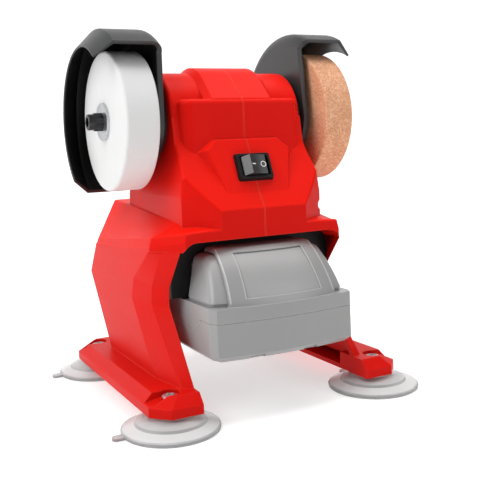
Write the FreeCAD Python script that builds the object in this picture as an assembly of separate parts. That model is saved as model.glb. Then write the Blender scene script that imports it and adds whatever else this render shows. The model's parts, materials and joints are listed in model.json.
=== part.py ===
import FreeCAD, Part
import math
import os

V = FreeCAD.Vector

# Fits and clearances
RUNNING_FIT = 0.05
MOVING_GAP = 0.3
SEAM_GAP = 0.15
SCREW_CLEARANCE = 0.2

# Main sizes
AXIS_HEIGHT = 152.0
SHOULDER_UNDERSIDE = 84.0
WHEEL_RADIUS = 37.5
WHEEL_WIDTH = 18.0
BARREL_RADIUS = 26.0
BARREL_HALF_LENGTH = 39.5
PACK_HALF_WIDTH = 41.0
PACK_FRONT = 73.3
PACK_REAR = 46.5
FOOT_HALF_LENGTH = 70.5
FOOT_BOTTOM = 8.7

# Spindle and grinding wheels
SHAFT_RADIUS = 4.0
SHAFT_SETBACK = 2.0
WHEEL_GAP = 4.0
WHEEL_BORE_RADIUS = 5.0
WHITE_EDGE_ROUND = 1.4
TAN_EDGE_ROUND = 4.0

# Wheel clamping
FLANGE_RADIUS = 10.0
FLANGE_THICKNESS = 3.0
FLANGE_HUB_RADIUS = 6.0
SPIGOT_LENGTH = 12.0
WASHER_THICKNESS = 1.5
COLLAR_LENGTH = 4.2
COLLAR_RADIUS = 4.9
COLLAR_RIB = 0.45
COLLAR_RIBS = 18
SOCKET_HEAD_LENGTH = 3.6
SOCKET_HEAD_RADIUS = 4.3
SOCKET_ACROSS = 5.0
SOCKET_DEPTH = 4.0
CLAMP_THREAD_RADIUS = 2.5
CLAMP_THREAD_LENGTH = 12.0

# Wheel guards
GUARD_STANDOFF = 3.5
GUARD_CLEARANCE = 9.7
GUARD_WALL = 3.0
GUARD_RIM_WALL = 2.0
GUARD_CORNER = 6.5
GUARD_BEND_ROUND = 1.5
GUARD_LIP_ROUND = 0.5
GUARD_LIP_WALL = 1.2
GUARD_OVERHANG = 2.8
GUARD_LIP_REACH = 9.2
GUARD_LIP_DROP = 9.2
GUARD_BORE_CLEARANCE = 2.5
GUARD_SCREW_INSET = 3.7
GUARD_BOSS_RIM = 3.8
GUARD_HUB_RIM = 5.0
GUARD_TILT_LEFT = 37.0
GUARD_TILT_RIGHT = 28.0
GUARD_SCREW_COUNT = 3
GUARD_SCREW_RADIUS = 1.5
GUARD_SCREW_HEAD_RADIUS = 2.8
GUARD_SCREW_HEAD = 2.0
GUARD_SCREW_BITE = 5.0

# Motor
CAN_AIR = 2.4
CAN_WALL = 1.5
CAN_HOLE_RADIUS = 6.0
MAGNET_THICKNESS = 5.0
MAGNET_ARC = 140.0
MAGNET_SETBACK = 16.5
ROTOR_GAP = 0.8
ROTOR_SETBACK = 2.0
ROTOR_SLOTS = 8
ROTOR_SLOT_WIDTH = 2.6
ROTOR_SLOT_FLOOR = 7.5
WINDING_OVERHANG = 4.5
WINDING_DROP = 0.9
COMMUTATOR_RADIUS = 7.0
COMMUTATOR_GAP = 1.0
COMMUTATOR_LENGTH = 6.5
BRUSH_FIT = 0.08
BRUSH_LENGTH = 8.0
BRUSH_WIDTH = 4.0
BRUSH_HEIGHT = 5.0
BRUSH_BOX_WALL = 1.5
END_PLATE_THICKNESS = 3.0

# Spindle bearings
BEARING_RADIUS = 9.5
BEARING_WIDTH = 6.0
BEARING_LIP_HOLE = 7.2
BEARING_RING = 2.0
BEARING_SHIELD_RECESS = 0.6

# Motor barrel of the housing
BARREL_EDGE = 2.0
BARREL_WALL = 2.6
BARREL_END_WALL = 1.0
CAN_RIB_WIDTH = 4.0
CAN_RIB_SETBACK = 12.5
STRAP_RISE = 3.0
STRAP_HALF_WIDTH = 17.5
STRAP_BEVEL = 3.5
VENT_LENGTH = 9.0
VENT_WIDTH = 2.2
VENT_SETBACK = 6.0
VENT_ANGLES = (0.0, 11.0, 22.0, 33.0)

# Block below the strap
BLOCK_SETBACK = 3.5
BLOCK_PROUD = 6.5
BLOCK_CORNER = 6.5
BLOCK_RISE = 9.7
BLOCK_EDGE = 2.8
SIDE_WALL_DROP = 14.0
SIDE_WALL_PROUD = 2.2
SIDE_SLOT_SETBACK = 0.5
SIDE_SLOT_RISE = 2.6
SIDE_SLOT_SIZE = 4.8
SIDE_SLOT_DEPTH = 1.2

# Neck, with heights as shares of its rise from the shoulder's underside to the spindle line
NECK_STEP = 19.2
NECK_FACE_HALF = 25.3
NECK_SETBACK = 0.1
NECK_FLARE = 2.6
NECK_CORNER_BACK = 12.0
NECK_FACE_SHARE = 0.2868
NECK_SLOPE_SHARE = 0.7206
NECK_FACET_LOW_SHARE = 0.3971
NECK_FACET_HIGH_SHARE = 0.6912
NECK_WALL = 3.6
NECK_EDGE = 1.8

# Switch panel, with heights as shares of the neck's rise and of its own height
PANEL_FOOT_BACK = 4.95
PANEL_FOOT_SHARE = 0.3941
PANEL_HEIGHT_SHARE = 0.4618
PANEL_WAIST_SHARE = 0.8153
PANEL_SWITCH_SHARE = 0.4745
PANEL_LIFT_ANGLE = 10.36
PANEL_FOOT_HALF = 18.3
PANEL_WAIST_HALF = 24.5
PANEL_TOP_HALF = 18.6
PANEL_DEPTH = 8.0
PANEL_SKIRT = 7.5
PANEL_EDGE = 1.0

# Rocker switch
BEZEL_WIDTH = 21.0
BEZEL_HEIGHT = 15.6
BEZEL_PROUD = 2.4
BEZEL_DRAFT = 0.8
BEZEL_CORNER = 1.2
SWITCH_BODY_INSET = 1.1
SWITCH_BODY_DEPTH = 15.0
ROCKER_RADIUS = 7.6
ROCKER_CROWN = 5.8
ROCKER_DISH = 0.5
ROCKER_KEEL = 4.2
ROCKER_FLANK_ANGLE = 8.0
ROCKER_HEIGHT = 10.6
ROCKER_END_GAP = 0.7
ROCKER_PIVOT_DEPTH = 0.8
ROCKER_PIN_RADIUS = 1.2
ROCKER_PIN_LENGTH = 0.9
ROCKER_SWING = 11.0
TAB_WIDTH = 4.8
TAB_THICKNESS = 0.8
TAB_LENGTH = 7.0
TAB_PITCH = 9.0

# Shoulder of the housing, with heights above its underside
SHOULDER_FACE_INSET = 12.0
SHOULDER_FACE_FLARE = 7.0
SHOULDER_CORNER_Y = 32.8
SHOULDER_REAR = 62.3
SHOULDER_REAR_FLARE = 2.0
SHOULDER_FACE_RISE = 10.3
SHOULDER_SIDE_RISE = 13.5
SHOULDER_REAR_RISE = 21.8
SHOULDER_EDGE_FRONT_RISE = 6.9
SHOULDER_EDGE_REAR_RISE = -2.5
SHOULDER_REAR_UNDERSIDE_RISE = -9.5
SHOULDER_BAND = 5.2
SHOULDER_BAND_LEAN = 1.4
SHOULDER_EDGE = 1.4

# Bay between the legs
BAY_SIDE_GAP = 7.0
BAY_RISE = 4.5
BAY_CORNER = 9.0

# Legs, as (y, share of the leg's height) down the front edge at three depths, then up the rear edge
LEG_FRONT_INNER = ((-50.7, 1.0), (-33.3, 0.6993), (-31.9, 0.5533), (-61.0, 0.0))
LEG_FRONT_FLANGE = ((-39.5, 1.0), (-23.2, 0.6993), (-21.6, 0.5533), (-58.5, 0.0))
LEG_FRONT_SIDE = ((-33.0, 1.0), (-6.0, 0.7343), (-1.5, 0.565), (-33.5, 0.0))
LEG_REAR = ((41.0, 0.0), (77.4, 0.638), (62.3, 0.927))
LEG_INTO_SHOULDER = 1.0
LEG_INTO_FOOT = 1.7
LEG_FLANGE = 6.0
LEG_DEPTH = 10.0
LEG_WALL = 2.8
LEG_EDGE = 1.3

# Foot bars
FOOT_STEP_RISE = 4.6
FOOT_TOP_RISE = 9.5
FOOT_SPREAD = 15.0
FOOT_CHAMFER_X = 8.4
FOOT_CHAMFER_Y = 9.0
FOOT_TAPER = 4.6
FOOT_HOLLOW_END = 12.5
FOOT_HOLLOW_SIDE = 4.0
FOOT_HOLLOW_RISE = 6.2
FOOT_FLOOR = 2.6
FOOT_EDGE = 0.9

# Suction cups and their screws
CUP_INSET_X = 12.7
CUP_INSET_Y = 12.0
CUP_RADIUS = 24.6
CUP_RIM = 2.1
CUP_STEP_RADIUS = 18.0
CUP_STEP_LOW = 4.1
CUP_STEP_HIGH = 5.3
CUP_NECK_RADIUS = 8.0
CUP_HOLLOW = 2.6
CUP_TAB_WIDTH = 5.2
CUP_TAB_REACH = 5.4
CUP_TAB_THICKNESS = 1.3
CUP_SCREW_RADIUS = 2.0
CUP_SCREW_HEAD_RADIUS = 4.4
CUP_SCREW_HEAD = 2.2
CUP_SCREW_BITE = 3.5
CUP_POCKET_RADIUS = 5.2
CUP_NOTCH_WIDTH = 8.4
CUP_POCKET_DEPTH = 2.4

# Screws that hold the housing halves together
TOP_SCREW_Y = -28.4
TOP_SCREW_RISE = 4.4
LOW_SCREW_Y = 38.2
LOW_SCREW_SHARE = 0.2588
REAR_SCREW_Y = 28.6
REAR_SCREW_DROP = 28.0
HOUSING_SCREW_RADIUS = 1.6
HOUSING_SCREW_HEAD_RADIUS = 2.7
HOUSING_SCREW_HEAD = 2.0
HOUSING_SCREW_SEAT_X = 12.0
HOUSING_SCREW_END_X = -12.0
HOUSING_SCREW_WELL = 3.0
HOUSING_BOSS = 5.0

# Battery pack
PACK_DECK_DROP = 31.0
PACK_DECK_RISE = 7.2
PACK_BOTTOM_CHAMFER = 2.4
PACK_CROWN = 226.0
PACK_CORNER_X = 3.4
PACK_CORNER_Y = 8.3
PACK_CORNER_ROUND = 1.6
PACK_WALL = 2.6
TONGUE_FRONT_BACK = 19.8
TONGUE_REAR_BACK = 6.5
TONGUE_DROP = 6.4
TONGUE_CHAMFER = 3.4
PACK_NOTCH_WIDTH = 8.0
PACK_NOTCH_DEPTH = 1.6
PACK_NOTCHES = (-18.0, 13.0)
DOME_FRONT_STEP = 0.5
DOME_REAR = 36.0
DOME_HEIGHT = 26.7
DOME_CROWN = 110.0
DOME_CURVE = 58.9
DOME_LEAN = 21.8
DOME_EDGE = 6.0
HOOD_SIDE_STEP = 10.0
HOOD_SIDE_LEAN = 2.4
HOOD_ROUND = 2.5
LABEL_HALF_WIDTH = 21.7
LABEL_LEAN = 1.5
LABEL_LOW = 3.4
LABEL_HIGH = 24.2
LABEL_DEPTH = 0.6
BUTTON_SIDE_STEP = 2.2
BUTTON_SIDE_LEAN = 4.2
BUTTON_LOW = 1.6
BUTTON_HIGH = 23.8
BUTTON_ROUND = 5.0
BUTTON_CORNER = 4.5
BUTTON_SUNK = 1.4
BUTTON_TUCK = 4.0
BUTTON_THICKNESS = 3.0
BUTTON_TRAVEL = 1.5
RAIL_STEP = 9.0
RAIL_FLANGE_STEP = 5.8
RAIL_FLANGE_RISE = 12.9
RAIL_FLANGE_THICKNESS = 5.2
RAIL_REAR_GAP = 3.0
CELL_RADIUS = 9.15
CELL_LENGTH = 65.0
CELL_COUNT = 5
CELL_SPACING = 1.3
CELL_HEADROOM = 2.8
CELL_FRONT_GAP = 11.3
LINK_THICKNESS = 0.3
LINK_WIDTH = 8.0
CASE_SCREW_INSET_X = 4.8
CASE_SCREW_INSET_FRONT = 11.2
CASE_SCREW_INSET_REAR = 6.5
CASE_SCREW_RADIUS = 1.2
CASE_SCREW_BITE = 4.5
CASE_SCREW_HEAD_RADIUS = 2.0
CASE_SCREW_HEAD = 1.8
CASE_POST_RADIUS = 2.6

# Battery dock
DOCK_FRONT_GAP = 0.6
DOCK_FRONT_WALL = 3.0
DOORWAY_GAP = 1.0
DOCK_REAR = 46.0
DOCK_LOW_RISE = 5.0
DOCK_WALL = 5.4
DOCK_ROOF = 3.0
DOCK_BACK_WALL = 4.0
LEDGE_FRONT = 27.0
LEDGE_HEIGHT = 5.6
TERMINAL_BLOCK_HALF = 15.0
TERMINAL_BLOCK_DEPTH = 6.0
TERMINAL_BLOCK_HEIGHT = 13.5
BLADE_PITCH = 9.5
BLADE_THICKNESS = 1.0
BLADE_HEIGHT = 7.0
BLADE_LENGTH = 11.0
BLADE_RISE = 4.5
BLADE_SLOT_GAP = 0.7

# Sizes along the spindle that follow from the ones above
GUARD_INNER_X = BARREL_HALF_LENGTH + GUARD_STANDOFF
GUARD_PLATE_X = GUARD_INNER_X + GUARD_WALL
WHEEL_INNER_X = GUARD_PLATE_X + WHEEL_GAP
WHEEL_OUTER_X = WHEEL_INNER_X + WHEEL_WIDTH
WASHER_OUTER_X = WHEEL_OUTER_X + WASHER_THICKNESS
COLLAR_OUTER_X = WASHER_OUTER_X + COLLAR_LENGTH
SHAFT_END_X = WHEEL_OUTER_X - SHAFT_SETBACK
GUARD_RIM_END_X = WHEEL_OUTER_X + GUARD_OVERHANG
GUARD_LIP_X = GUARD_RIM_END_X + GUARD_LIP_REACH
BEARING_OUTER_X = BARREL_HALF_LENGTH - BARREL_END_WALL
CAN_HALF_LENGTH = BEARING_OUTER_X - BEARING_WIDTH
CAN_RIB_X = CAN_HALF_LENGTH - CAN_RIB_SETBACK
MAGNET_HALF_LENGTH = CAN_HALF_LENGTH - MAGNET_SETBACK
ROTOR_HALF_LENGTH = MAGNET_HALF_LENGTH - ROTOR_SETBACK
COMMUTATOR_NEAR_X = -ROTOR_HALF_LENGTH - WINDING_OVERHANG - COMMUTATOR_GAP
VENT_END_X = BARREL_HALF_LENGTH - VENT_SETBACK
BLOCK_HALF_WIDTH = BARREL_HALF_LENGTH - BLOCK_SETBACK
NECK_TOP_HALF_WIDTH = BARREL_HALF_LENGTH - NECK_SETBACK
NECK_HALF_WIDTH = NECK_TOP_HALF_WIDTH + NECK_FLARE

# Sizes round the spindle
GUARD_RADIUS = WHEEL_RADIUS + GUARD_CLEARANCE + GUARD_RIM_WALL
GUARD_LIP_RADIUS = GUARD_RADIUS - GUARD_LIP_DROP
GUARD_BORE_RADIUS = FLANGE_RADIUS + GUARD_BORE_CLEARANCE
GUARD_SCREW_CIRCLE = GUARD_BORE_RADIUS + GUARD_SCREW_INSET
GUARD_BOSS_RADIUS = GUARD_SCREW_CIRCLE + GUARD_BOSS_RIM
GUARD_HUB_RADIUS = GUARD_BOSS_RADIUS + GUARD_HUB_RIM
STRAP_RADIUS = BARREL_RADIUS + STRAP_RISE
CAN_RADIUS = BARREL_RADIUS - BARREL_WALL - CAN_AIR
MAGNET_OUTER = CAN_RADIUS - CAN_WALL
ROTOR_RADIUS = MAGNET_OUTER - MAGNET_THICKNESS - ROTOR_GAP

# Sizes of the housing
BLOCK_FRONT = BARREL_RADIUS + BLOCK_PROUD
NECK_FRONT = BLOCK_FRONT + NECK_STEP
NECK_CORNER_Y = NECK_FRONT - NECK_CORNER_BACK
NECK_RISE = AXIS_HEIGHT - SHOULDER_UNDERSIDE
NECK_FACE_TOP = SHOULDER_UNDERSIDE + NECK_FACE_SHARE * NECK_RISE
NECK_SLOPE_TOP = SHOULDER_UNDERSIDE + NECK_SLOPE_SHARE * NECK_RISE
NECK_FACET_LOW = SHOULDER_UNDERSIDE + NECK_FACET_LOW_SHARE * NECK_RISE
NECK_FACET_HIGH = SHOULDER_UNDERSIDE + NECK_FACET_HIGH_SHARE * NECK_RISE
NECK_LEAN = NECK_STEP / (NECK_SLOPE_TOP - NECK_FACE_TOP)
PANEL_FOOT_Y = NECK_FRONT - PANEL_FOOT_BACK
PANEL_FOOT_Z = SHOULDER_UNDERSIDE + PANEL_FOOT_SHARE * NECK_RISE
PANEL_HEIGHT = PANEL_HEIGHT_SHARE * NECK_RISE
PANEL_WAIST = PANEL_WAIST_SHARE * PANEL_HEIGHT
PANEL_TILT = math.atan(NECK_LEAN) - math.radians(PANEL_LIFT_ANGLE)
SWITCH_CENTRE = PANEL_SWITCH_SHARE * PANEL_HEIGHT
SWITCH_BODY_WIDTH = BEZEL_WIDTH - 2 * SWITCH_BODY_INSET
SWITCH_BODY_HEIGHT = BEZEL_HEIGHT - 2 * SWITCH_BODY_INSET
SWITCH_WELL_DEPTH = ROCKER_PIVOT_DEPTH + ROCKER_RADIUS + ROCKER_END_GAP
BAY_HALF_WIDTH = PACK_HALF_WIDTH + BAY_SIDE_GAP
BAY_TOP = SHOULDER_UNDERSIDE + BAY_RISE
LEG_FLANGE_X = BAY_HALF_WIDTH + LEG_FLANGE
SHOULDER_HALF_WIDTH = BAY_HALF_WIDTH + LEG_DEPTH
FOOT_OUTER_X = SHOULDER_HALF_WIDTH + FOOT_SPREAD
FOOT_STEP = FOOT_BOTTOM + FOOT_STEP_RISE
FOOT_TOP = FOOT_BOTTOM + FOOT_TOP_RISE
FOOT_ON = FOOT_BOTTOM + FOOT_FLOOR
LEG_TOP = SHOULDER_UNDERSIDE + LEG_INTO_SHOULDER
LEG_LOW = FOOT_TOP - LEG_INTO_FOOT
CUP_X = BAY_HALF_WIDTH + CUP_INSET_X
CUP_Y = FOOT_HALF_LENGTH - CUP_INSET_Y
CUP_PLACES = ((-1, -1, 180.0), (1, -1, 90.0), (-1, 1, 180.0), (1, 1, 0.0))
CUP_POCKET_FLOOR = FOOT_TOP - CUP_POCKET_DEPTH
CUP_SCREW_END = FOOT_BOTTOM - CUP_SCREW_BITE
LOW_SCREW_Z = SHOULDER_UNDERSIDE + LOW_SCREW_SHARE * NECK_RISE
HOUSING_SCREWS = ((TOP_SCREW_Y, AXIS_HEIGHT + TOP_SCREW_RISE), (-LOW_SCREW_Y, LOW_SCREW_Z),
                  (LOW_SCREW_Y, LOW_SCREW_Z), (REAR_SCREW_Y, AXIS_HEIGHT - REAR_SCREW_DROP))

# Sizes of the battery pack and its dock
PACK_DECK = BAY_TOP - PACK_DECK_DROP
PACK_SEAM = PACK_DECK - PACK_DECK_RISE
PACK_BOTTOM = PACK_DECK - 2 * PACK_WALL - 2 * CELL_RADIUS - CELL_HEADROOM
DOME_FRONT = PACK_FRONT - DOME_FRONT_STEP
DOME_TOP = PACK_DECK + DOME_HEIGHT
HOOD_HALF_LOW = PACK_HALF_WIDTH - HOOD_SIDE_STEP
HOOD_HALF_HIGH = HOOD_HALF_LOW - HOOD_SIDE_LEAN
BUTTON_HALF_LOW = PACK_HALF_WIDTH - BUTTON_SIDE_STEP
BUTTON_INNER_X = HOOD_HALF_LOW - BUTTON_TUCK
TONGUE_FRONT = PACK_FRONT - TONGUE_FRONT_BACK
TONGUE_REAR = PACK_REAR - TONGUE_REAR_BACK
CELL_PITCH = 2 * CELL_RADIUS + CELL_SPACING
CELL_FRONT_Y = PACK_WALL + CELL_FRONT_GAP + CELL_RADIUS - PACK_FRONT
CASE_SCREW_X = PACK_HALF_WIDTH - CASE_SCREW_INSET_X
CASE_SCREW_Y = (CASE_SCREW_INSET_FRONT - PACK_FRONT, PACK_REAR - CASE_SCREW_INSET_REAR)
DOCK_LOW = PACK_DECK + DOCK_LOW_RISE
DOCK_INSIDE_REAR = DOCK_REAR - DOCK_BACK_WALL
RAIL_HALF_WIDTH = PACK_HALF_WIDTH - RAIL_STEP
RAIL_FLANGE_HALF_WIDTH = PACK_HALF_WIDTH - RAIL_FLANGE_STEP
RAIL_FLANGE_LOW = PACK_DECK + RAIL_FLANGE_RISE
RAIL_FLANGE_HIGH = RAIL_FLANGE_LOW + RAIL_FLANGE_THICKNESS
BLADE_ROOT_Y = DOCK_INSIDE_REAR - TERMINAL_BLOCK_DEPTH
BLADE_MIDDLE = DOCK_LOW + BLADE_RISE
RAIL_REAR = BLADE_ROOT_Y - RAIL_REAR_GAP


def at_x(x):
    return lambda a, b: V(x, a, b)


def at_y(y):
    return lambda a, b: V(a, y, b)


def at_z(z):
    return lambda a, b: V(a, b, z)


def on_panel(lift):
    """Places (across, up) on the switch panel, lifted off it along its normal."""
    up = V(0, math.sin(PANEL_TILT), math.cos(PANEL_TILT))
    out = V(0, -math.cos(PANEL_TILT), math.sin(PANEL_TILT))
    foot = V(0, -PANEL_FOOT_Y, PANEL_FOOT_Z)
    return lambda a, b: foot + V(a, 0, 0) + up * b + out * lift


def outline(corners, place):
    """Face inside corners given as (a, b) or (a, b, radius); a radius rounds that corner."""
    ways = []
    count = len(corners)
    for i in range(count):
        here = V(corners[i][0], corners[i][1], 0)
        radius = corners[i][2] if len(corners[i]) > 2 else 0.0
        if not radius:
            ways.append((here, None, here))
            continue
        back = (V(*corners[i - 1][:2], 0) - here).normalize()
        on = (V(*corners[(i + 1) % count][:2], 0) - here).normalize()
        half = back.getAngle(on) / 2
        centre = here + (back + on).normalize() * (radius / math.sin(half))
        crown = centre + (here - centre).normalize() * radius
        reach = radius / math.tan(half)
        ways.append((here + back * reach, crown, here + on * reach))
    edges = []
    for i in range(count):
        start, crown, end = [p and place(p.x, p.y) for p in ways[i]]
        if crown:
            edges.append(Part.Arc(start, crown, end).toShape())
        follow = ways[(i + 1) % count][0]
        follow = place(follow.x, follow.y)
        if end.distanceToPoint(follow) > 1e-6:
            edges.append(Part.LineSegment(end, follow).toShape())
    return Part.Face(Part.Wire(edges))


def prism_x(corners, x0, x1):
    return outline(corners, at_x(x0)).extrude(V(x1 - x0, 0, 0))


def prism_y(corners, y0, y1):
    return outline(corners, at_y(y0)).extrude(V(0, y1 - y0, 0))


def prism_z(corners, z0, z1):
    return outline(corners, at_z(z0)).extrude(V(0, 0, z1 - z0))


def loft(sections):
    """Ruled solid through (corners, place) sections."""
    return Part.makeLoft([outline(corners, place).OuterWire for corners, place in sections], True, True)


def box(x0, x1, y0, y1, z0, z1):
    return Part.makeBox(x1 - x0, y1 - y0, z1 - z0, V(x0, y0, z0))


def rod_x(radius, x0, x1, y=0.0, z=AXIS_HEIGHT):
    return Part.makeCylinder(radius, x1 - x0, V(x0, y, z), V(1, 0, 0))


def rod_z(radius, z0, z1, x, y):
    return Part.makeCylinder(radius, z1 - z0, V(x, y, z0))


def turned(corners, angle=360.0, start=0.0):
    """Sweep of an (x, radius) outline round the spindle line."""
    face = outline(corners, lambda x, r: V(x, 0, AXIS_HEIGHT + r))
    face.rotate(V(0, 0, AXIS_HEIGHT), V(1, 0, 0), start)
    return face.revolve(V(0, 0, AXIS_HEIGHT), V(1, 0, 0), angle)


def ring(inner, outer, x0, x1):
    return turned([(x0, inner), (x1, inner), (x1, outer), (x0, outer)])


def spun(shape, angle):
    copy = shape.copy()
    copy.rotate(V(0, 0, AXIS_HEIGHT), V(1, 0, 0), angle)
    return copy


def join(*shapes):
    return shapes[0].multiFuse(list(shapes[1:])).removeSplitter()


def soften(solid, radius, chosen):
    """Rounds the edges that chosen(bounds, middle) picks."""
    return solid.makeFillet(radius, [e for e in solid.Edges if chosen(e.BoundBox, e.CenterOfMass)])


def other_side(shape):
    return shape.mirror(V(0, 0, 0), V(1, 0, 0))


def other_end(shape):
    return shape.mirror(V(0, 0, 0), V(0, 1, 0))


def both_sides(shape):
    return Part.makeCompound([shape, other_side(shape)])


def full(corners):
    """Whole outline from the corners of its right half, listed from the middle outwards."""
    return corners + [(-c[0],) + tuple(c[1:]) for c in reversed(corners)]


# Spindle

def spindle_shaft():
    thread = rod_x(CLAMP_THREAD_RADIUS, SHAFT_END_X - CLAMP_THREAD_LENGTH, SHAFT_END_X)
    return rod_x(SHAFT_RADIUS, -SHAFT_END_X, SHAFT_END_X).cut([thread, other_side(thread)])


def wheel(edge_round):
    return turned([(WHEEL_INNER_X, WHEEL_BORE_RADIUS), (WHEEL_OUTER_X, WHEEL_BORE_RADIUS),
                   (WHEEL_OUTER_X, WHEEL_RADIUS, edge_round), (WHEEL_INNER_X, WHEEL_RADIUS, edge_round)])


def inner_flange():
    disc_x = WHEEL_INNER_X - FLANGE_THICKNESS
    spigot_x = WHEEL_INNER_X + SPIGOT_LENGTH
    hub_x = BEARING_OUTER_X + MOVING_GAP
    return turned([(hub_x, SHAFT_RADIUS), (spigot_x, SHAFT_RADIUS), (spigot_x, WHEEL_BORE_RADIUS),
                   (WHEEL_INNER_X, WHEEL_BORE_RADIUS), (WHEEL_INNER_X, FLANGE_RADIUS),
                   (disc_x, FLANGE_RADIUS), (disc_x, FLANGE_HUB_RADIUS), (hub_x, FLANGE_HUB_RADIUS)])


def wheel_washer():
    return ring(CLAMP_THREAD_RADIUS, FLANGE_RADIUS, WHEEL_OUTER_X, WASHER_OUTER_X)


def clamp_screw():
    ribs = []
    for i in range(2 * COLLAR_RIBS):
        radius = COLLAR_RADIUS - COLLAR_RIB * (i % 2)
        angle = math.pi * i / COLLAR_RIBS
        ribs.append((radius * math.cos(angle), AXIS_HEIGHT + radius * math.sin(angle)))
    collar = prism_x(ribs, WASHER_OUTER_X, COLLAR_OUTER_X)
    end_x = COLLAR_OUTER_X + SOCKET_HEAD_LENGTH
    head = turned([(COLLAR_OUTER_X, 0), (end_x, 0), (end_x, SOCKET_HEAD_RADIUS, 0.6),
                   (COLLAR_OUTER_X, SOCKET_HEAD_RADIUS)])
    shank = rod_x(CLAMP_THREAD_RADIUS, SHAFT_END_X - CLAMP_THREAD_LENGTH, WASHER_OUTER_X)
    corner = SOCKET_ACROSS / math.sqrt(3)
    hexagon = [(corner * math.cos(math.pi * i / 3), AXIS_HEIGHT + corner * math.sin(math.pi * i / 3))
               for i in range(6)]
    socket = prism_x(hexagon, end_x - SOCKET_DEPTH, end_x)
    return join(collar, head, shank).cut(socket)


# Motor

def motor_can():
    near, far = -CAN_HALF_LENGTH, CAN_HALF_LENGTH
    return turned([(near, MAGNET_OUTER), (far - CAN_WALL, MAGNET_OUTER), (far - CAN_WALL, CAN_HOLE_RADIUS),
                   (far, CAN_HOLE_RADIUS), (far, CAN_RADIUS), (near, CAN_RADIUS)])


def motor_magnets():
    inner = MAGNET_OUTER - MAGNET_THICKNESS
    arc = turned([(-MAGNET_HALF_LENGTH, inner), (MAGNET_HALF_LENGTH, inner),
                  (MAGNET_HALF_LENGTH, MAGNET_OUTER), (-MAGNET_HALF_LENGTH, MAGNET_OUTER)],
                 MAGNET_ARC, -MAGNET_ARC / 2)
    return Part.makeCompound([arc, spun(arc, 180.0)])


def rotor_slots(depth_from, depth_to):
    slot = box(-ROTOR_HALF_LENGTH, ROTOR_HALF_LENGTH, -ROTOR_SLOT_WIDTH / 2, ROTOR_SLOT_WIDTH / 2,
               AXIS_HEIGHT + depth_from, AXIS_HEIGHT + depth_to)
    return [spun(slot, 360.0 * i / ROTOR_SLOTS) for i in range(ROTOR_SLOTS)]


def rotor_core():
    core = ring(SHAFT_RADIUS, ROTOR_RADIUS, -ROTOR_HALF_LENGTH, ROTOR_HALF_LENGTH)
    return core.cut(rotor_slots(ROTOR_SLOT_FLOOR, ROTOR_RADIUS + 1))


def rotor_winding():
    outer = ROTOR_RADIUS - WINDING_DROP
    turns = ring(SHAFT_RADIUS, outer, ROTOR_HALF_LENGTH, ROTOR_HALF_LENGTH + WINDING_OVERHANG)
    bars = rotor_slots(ROTOR_SLOT_FLOOR, outer - 0.5)
    return join(turns, other_side(turns), *bars)


def commutator():
    far_x = COMMUTATOR_NEAR_X - COMMUTATOR_LENGTH
    drum = ring(SHAFT_RADIUS, COMMUTATOR_RADIUS, far_x, COMMUTATOR_NEAR_X)
    groove = box(far_x, COMMUTATOR_NEAR_X, -0.25, 0.25, AXIS_HEIGHT + COMMUTATOR_RADIUS - 0.8,
                 AXIS_HEIGHT + COMMUTATOR_RADIUS + 1)
    return drum.cut([spun(groove, 360.0 * i / ROTOR_SLOTS) for i in range(ROTOR_SLOTS)])


def brush_block(grow, inner, outer):
    """Rectangular block on the front side of the commutator, between two radii."""
    middle_x = COMMUTATOR_NEAR_X - COMMUTATOR_LENGTH / 2
    return box(middle_x - BRUSH_WIDTH / 2 - grow, middle_x + BRUSH_WIDTH / 2 + grow, -outer, -inner,
               AXIS_HEIGHT - BRUSH_HEIGHT / 2 - grow, AXIS_HEIGHT + BRUSH_HEIGHT / 2 + grow)


def carbon_brushes():
    inner = COMMUTATOR_RADIUS + BRUSH_FIT
    brush = brush_block(0.0, inner, inner + BRUSH_LENGTH)
    face = rod_x(inner, -CAN_HALF_LENGTH, 0.0)
    brush = brush.cut(face)
    return Part.makeCompound([brush, other_end(brush)])


def motor_end_plate():
    plate_x = END_PLATE_THICKNESS - CAN_HALF_LENGTH
    plate = ring(CAN_HOLE_RADIUS, MAGNET_OUTER, -CAN_HALF_LENGTH, plate_x)
    inner = COMMUTATOR_RADIUS + BRUSH_FIT
    holder = brush_block(BRUSH_BOX_WALL, inner + 1.5, inner + BRUSH_LENGTH)
    bounds = holder.BoundBox
    arm = box(plate_x, bounds.XMin, bounds.YMin, bounds.YMax, bounds.ZMin, bounds.ZMax)
    hole = brush_block(0.0, inner, inner + BRUSH_LENGTH)
    holder = join(holder, arm).cut(hole)
    return join(plate, holder, other_end(holder))


def bearing():
    near, far = CAN_HALF_LENGTH, BEARING_OUTER_X
    inner = SHAFT_RADIUS + RUNNING_FIT
    low, high = inner + BEARING_RING, BEARING_RADIUS - BEARING_RING
    dip = BEARING_SHIELD_RECESS
    return turned([(near, inner), (far, inner), (far, low), (far - dip, low), (far - dip, high), (far, high),
                   (far, BEARING_RADIUS), (near, BEARING_RADIUS), (near, high), (near + dip, high),
                   (near + dip, low), (near, low)])


# Wheel guards

def guard_screw_spots():
    return [math.radians(90.0 + 360.0 * i / GUARD_SCREW_COUNT) for i in range(GUARD_SCREW_COUNT)]


def guard_screw_rod(radius, x0, x1):
    circle = GUARD_SCREW_CIRCLE
    return [rod_x(radius, x0, x1, circle * math.cos(a), AXIS_HEIGHT + circle * math.sin(a))
            for a in guard_screw_spots()]


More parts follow.
